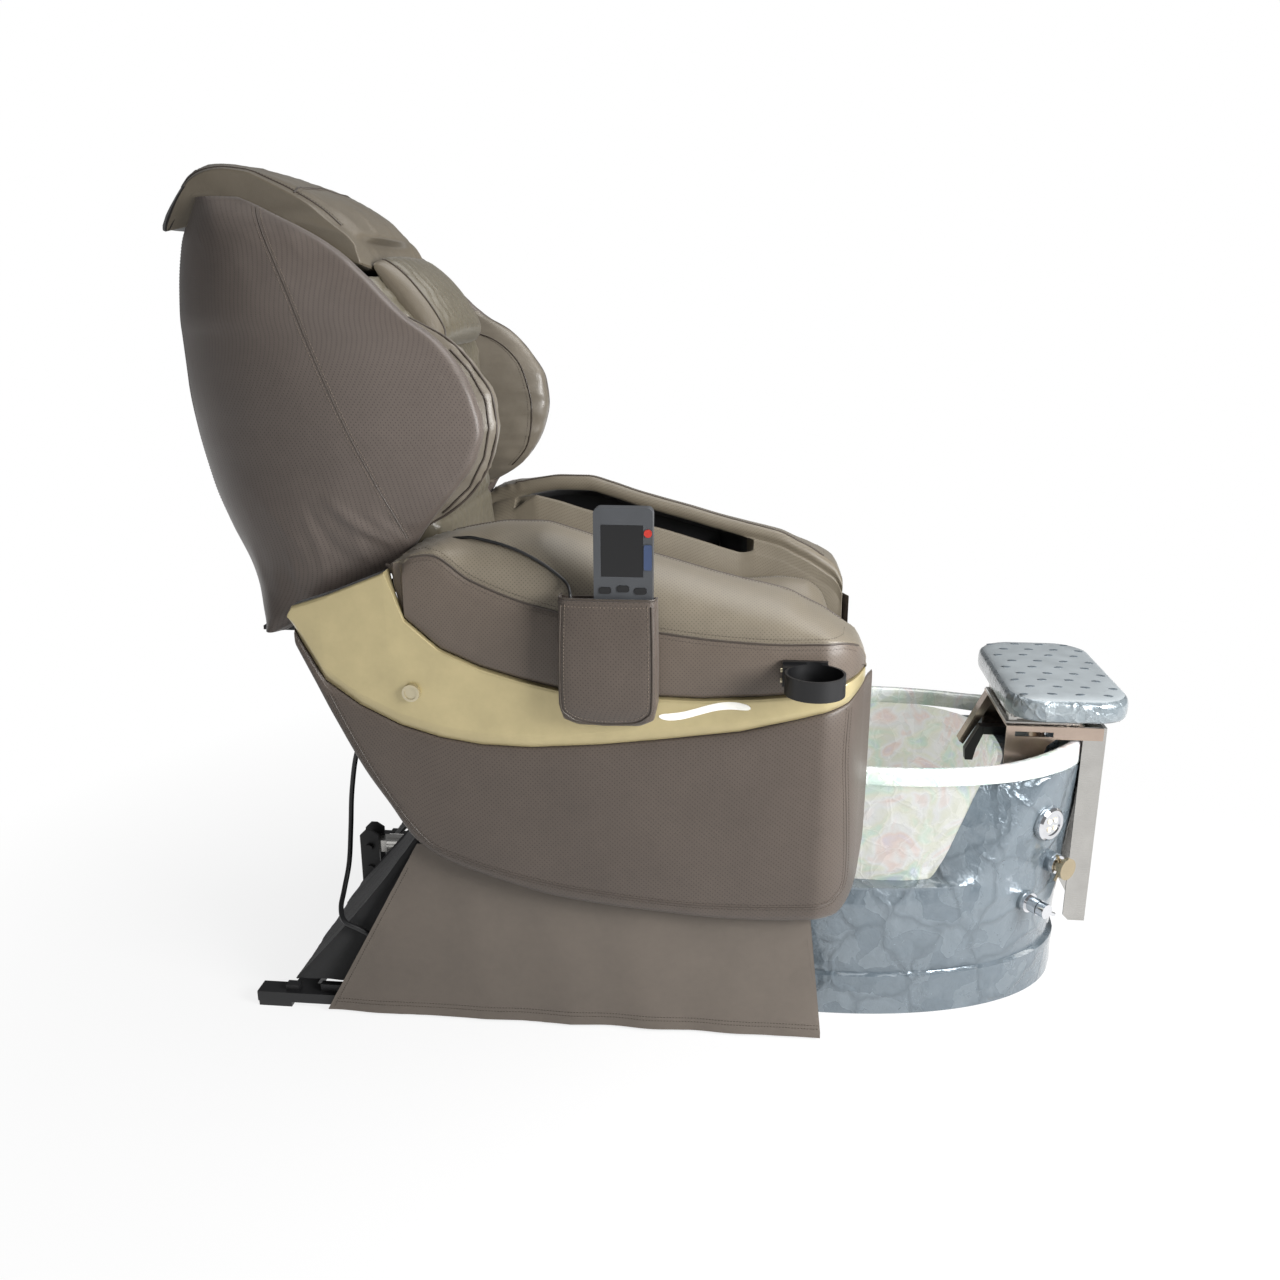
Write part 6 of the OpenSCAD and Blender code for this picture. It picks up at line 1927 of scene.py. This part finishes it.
@dataclass
class Stage:
    """Camera, lamps, floor and background."""

    camera_at: Point = (0.18, -2.05, 1.215)
    yaw: float = 5.5
    pitch: float = -16.5
    lens: float = 32.34

    def camera(self) -> None:
        """Makes the camera."""
        data = bpy.data.cameras.new("camera")
        data.sensor_width, data.lens = 36, self.lens
        camera = bpy.data.objects.new("camera", data)
        bpy.context.scene.collection.objects.link(camera)
        camera.location = self.camera_at
        camera.rotation_euler = (math.radians(90 + self.pitch), 0, math.radians(self.yaw))
        bpy.context.scene.camera = camera

    def lamp(self, name: str, at: Point, aim: Point, size: float, power: float) -> None:
        """Makes one soft square lamp."""
        data = bpy.data.lights.new(name, "AREA")
        data.size, data.energy = size, power
        lamp = bpy.data.objects.new(name, data)
        bpy.context.scene.collection.objects.link(lamp)
        lamp.location = at
        lamp.rotation_euler = (Vector(aim) - Vector(at)).to_track_quat("-Z", "Y").to_euler()

    def white_for_camera(self, g: Graph, shader: Socket,
                         strength: object) -> Socket:
        """Shows plain white to the camera and in reflections, in place of a share of the shader."""
        path = g.add("ShaderNodeLightPath").outputs
        seen = g.math("MAXIMUM", path["Is Camera Ray"],
                      g.math("MAXIMUM", path["Is Glossy Ray"], path["Is Transmission Ray"]))
        white = g.add("ShaderNodeEmission", {"Color": (1, 1, 1, 1), "Strength": 1.0}).outputs[0]
        share = g.math("MULTIPLY", seen, strength)
        return g.add("ShaderNodeMixShader", {0: share, 1: shader, 2: white}).outputs[0]

    def build(self) -> None:
        """Makes the floor, the world and the lamps."""
        mesh = mesh_of("floor", np.array([(-9000, -9000, 0), (9000, -9000, 0), (9000, 9000, 0),
                                          (-9000, 9000, 0)], float),
                       [[0, 1, 2, 3]])
        floor = new_piece("floor", mesh)
        material, g, shader = principled("floor_white")
        g.feed(shader, {"Base Color": (0.86, 0.86, 0.86, 1), "Roughness": 0.9, "Specular IOR Level": 0.1})
        out = next(n for n in material.node_tree.nodes if n.type == "OUTPUT_MATERIAL")
        place = g.add("ShaderNodeNewGeometry").outputs["Position"]
        away = g.add("ShaderNodeVectorMath", {0: place}, operation="LENGTH")
        share = g.math("ADD", 0.72, g.math("MULTIPLY", away.outputs["Value"], 0.17), clamp=True)
        g.link(self.white_for_camera(g, shader.outputs[0], share), out.inputs["Surface"])
        mesh.materials.append(material)
        world = bpy.data.worlds.new("studio")
        bpy.context.scene.world = world
        world.use_nodes = True
        g = Graph(world.node_tree)
        plain = next(n for n in world.node_tree.nodes if n.type == "BACKGROUND")
        g.feed(plain, {"Color": (0.97, 0.98, 1, 1), "Strength": 0.21})
        white = g.add("ShaderNodeBackground", {"Color": (1, 1, 1, 1), "Strength": 1.0})
        path = g.add("ShaderNodeLightPath").outputs
        seen = g.math("MAXIMUM", path["Is Camera Ray"], path["Is Transmission Ray"])
        both = g.add("ShaderNodeMixShader", {0: seen, 1: plain.outputs[0], 2: white.outputs[0]})
        out = next(n for n in world.node_tree.nodes if n.type == "OUTPUT_WORLD")
        g.link(both.outputs[0], out.inputs["Surface"])
        self.lamp("key", (1.75, -1.3, 1.4), (0.0, 0, 0.8), 1.0, 92)
        self.lamp("fill", (-1.0, -3.0, 2.0), (-0.1, 0, 0.8), 1.6, 10)
        self.lamp("top", (0.8, 0.4, 2.8), (0.2, 0, 0.7), 1.8, 38)
        bpy.context.scene.view_settings.view_transform = "Standard"


def main() -> None:
    """Builds the chair's pieces in order."""
    logging.basicConfig(level=logging.INFO, format="%(name)s %(message)s")
    stage = Stage()
    stage.camera()
    carriage, back, basin = Carriage(), Back(), Basin()
    carriage.cords()
    stitches = stitch_tree()
    carriage.build()
    back.build()
    basin.build()
    for seams in (carriage.seams, back.seams):
        seams.build(stitches)
    dress_hard_parts()
    stage.build()


if __name__ == "__main__":
    main()
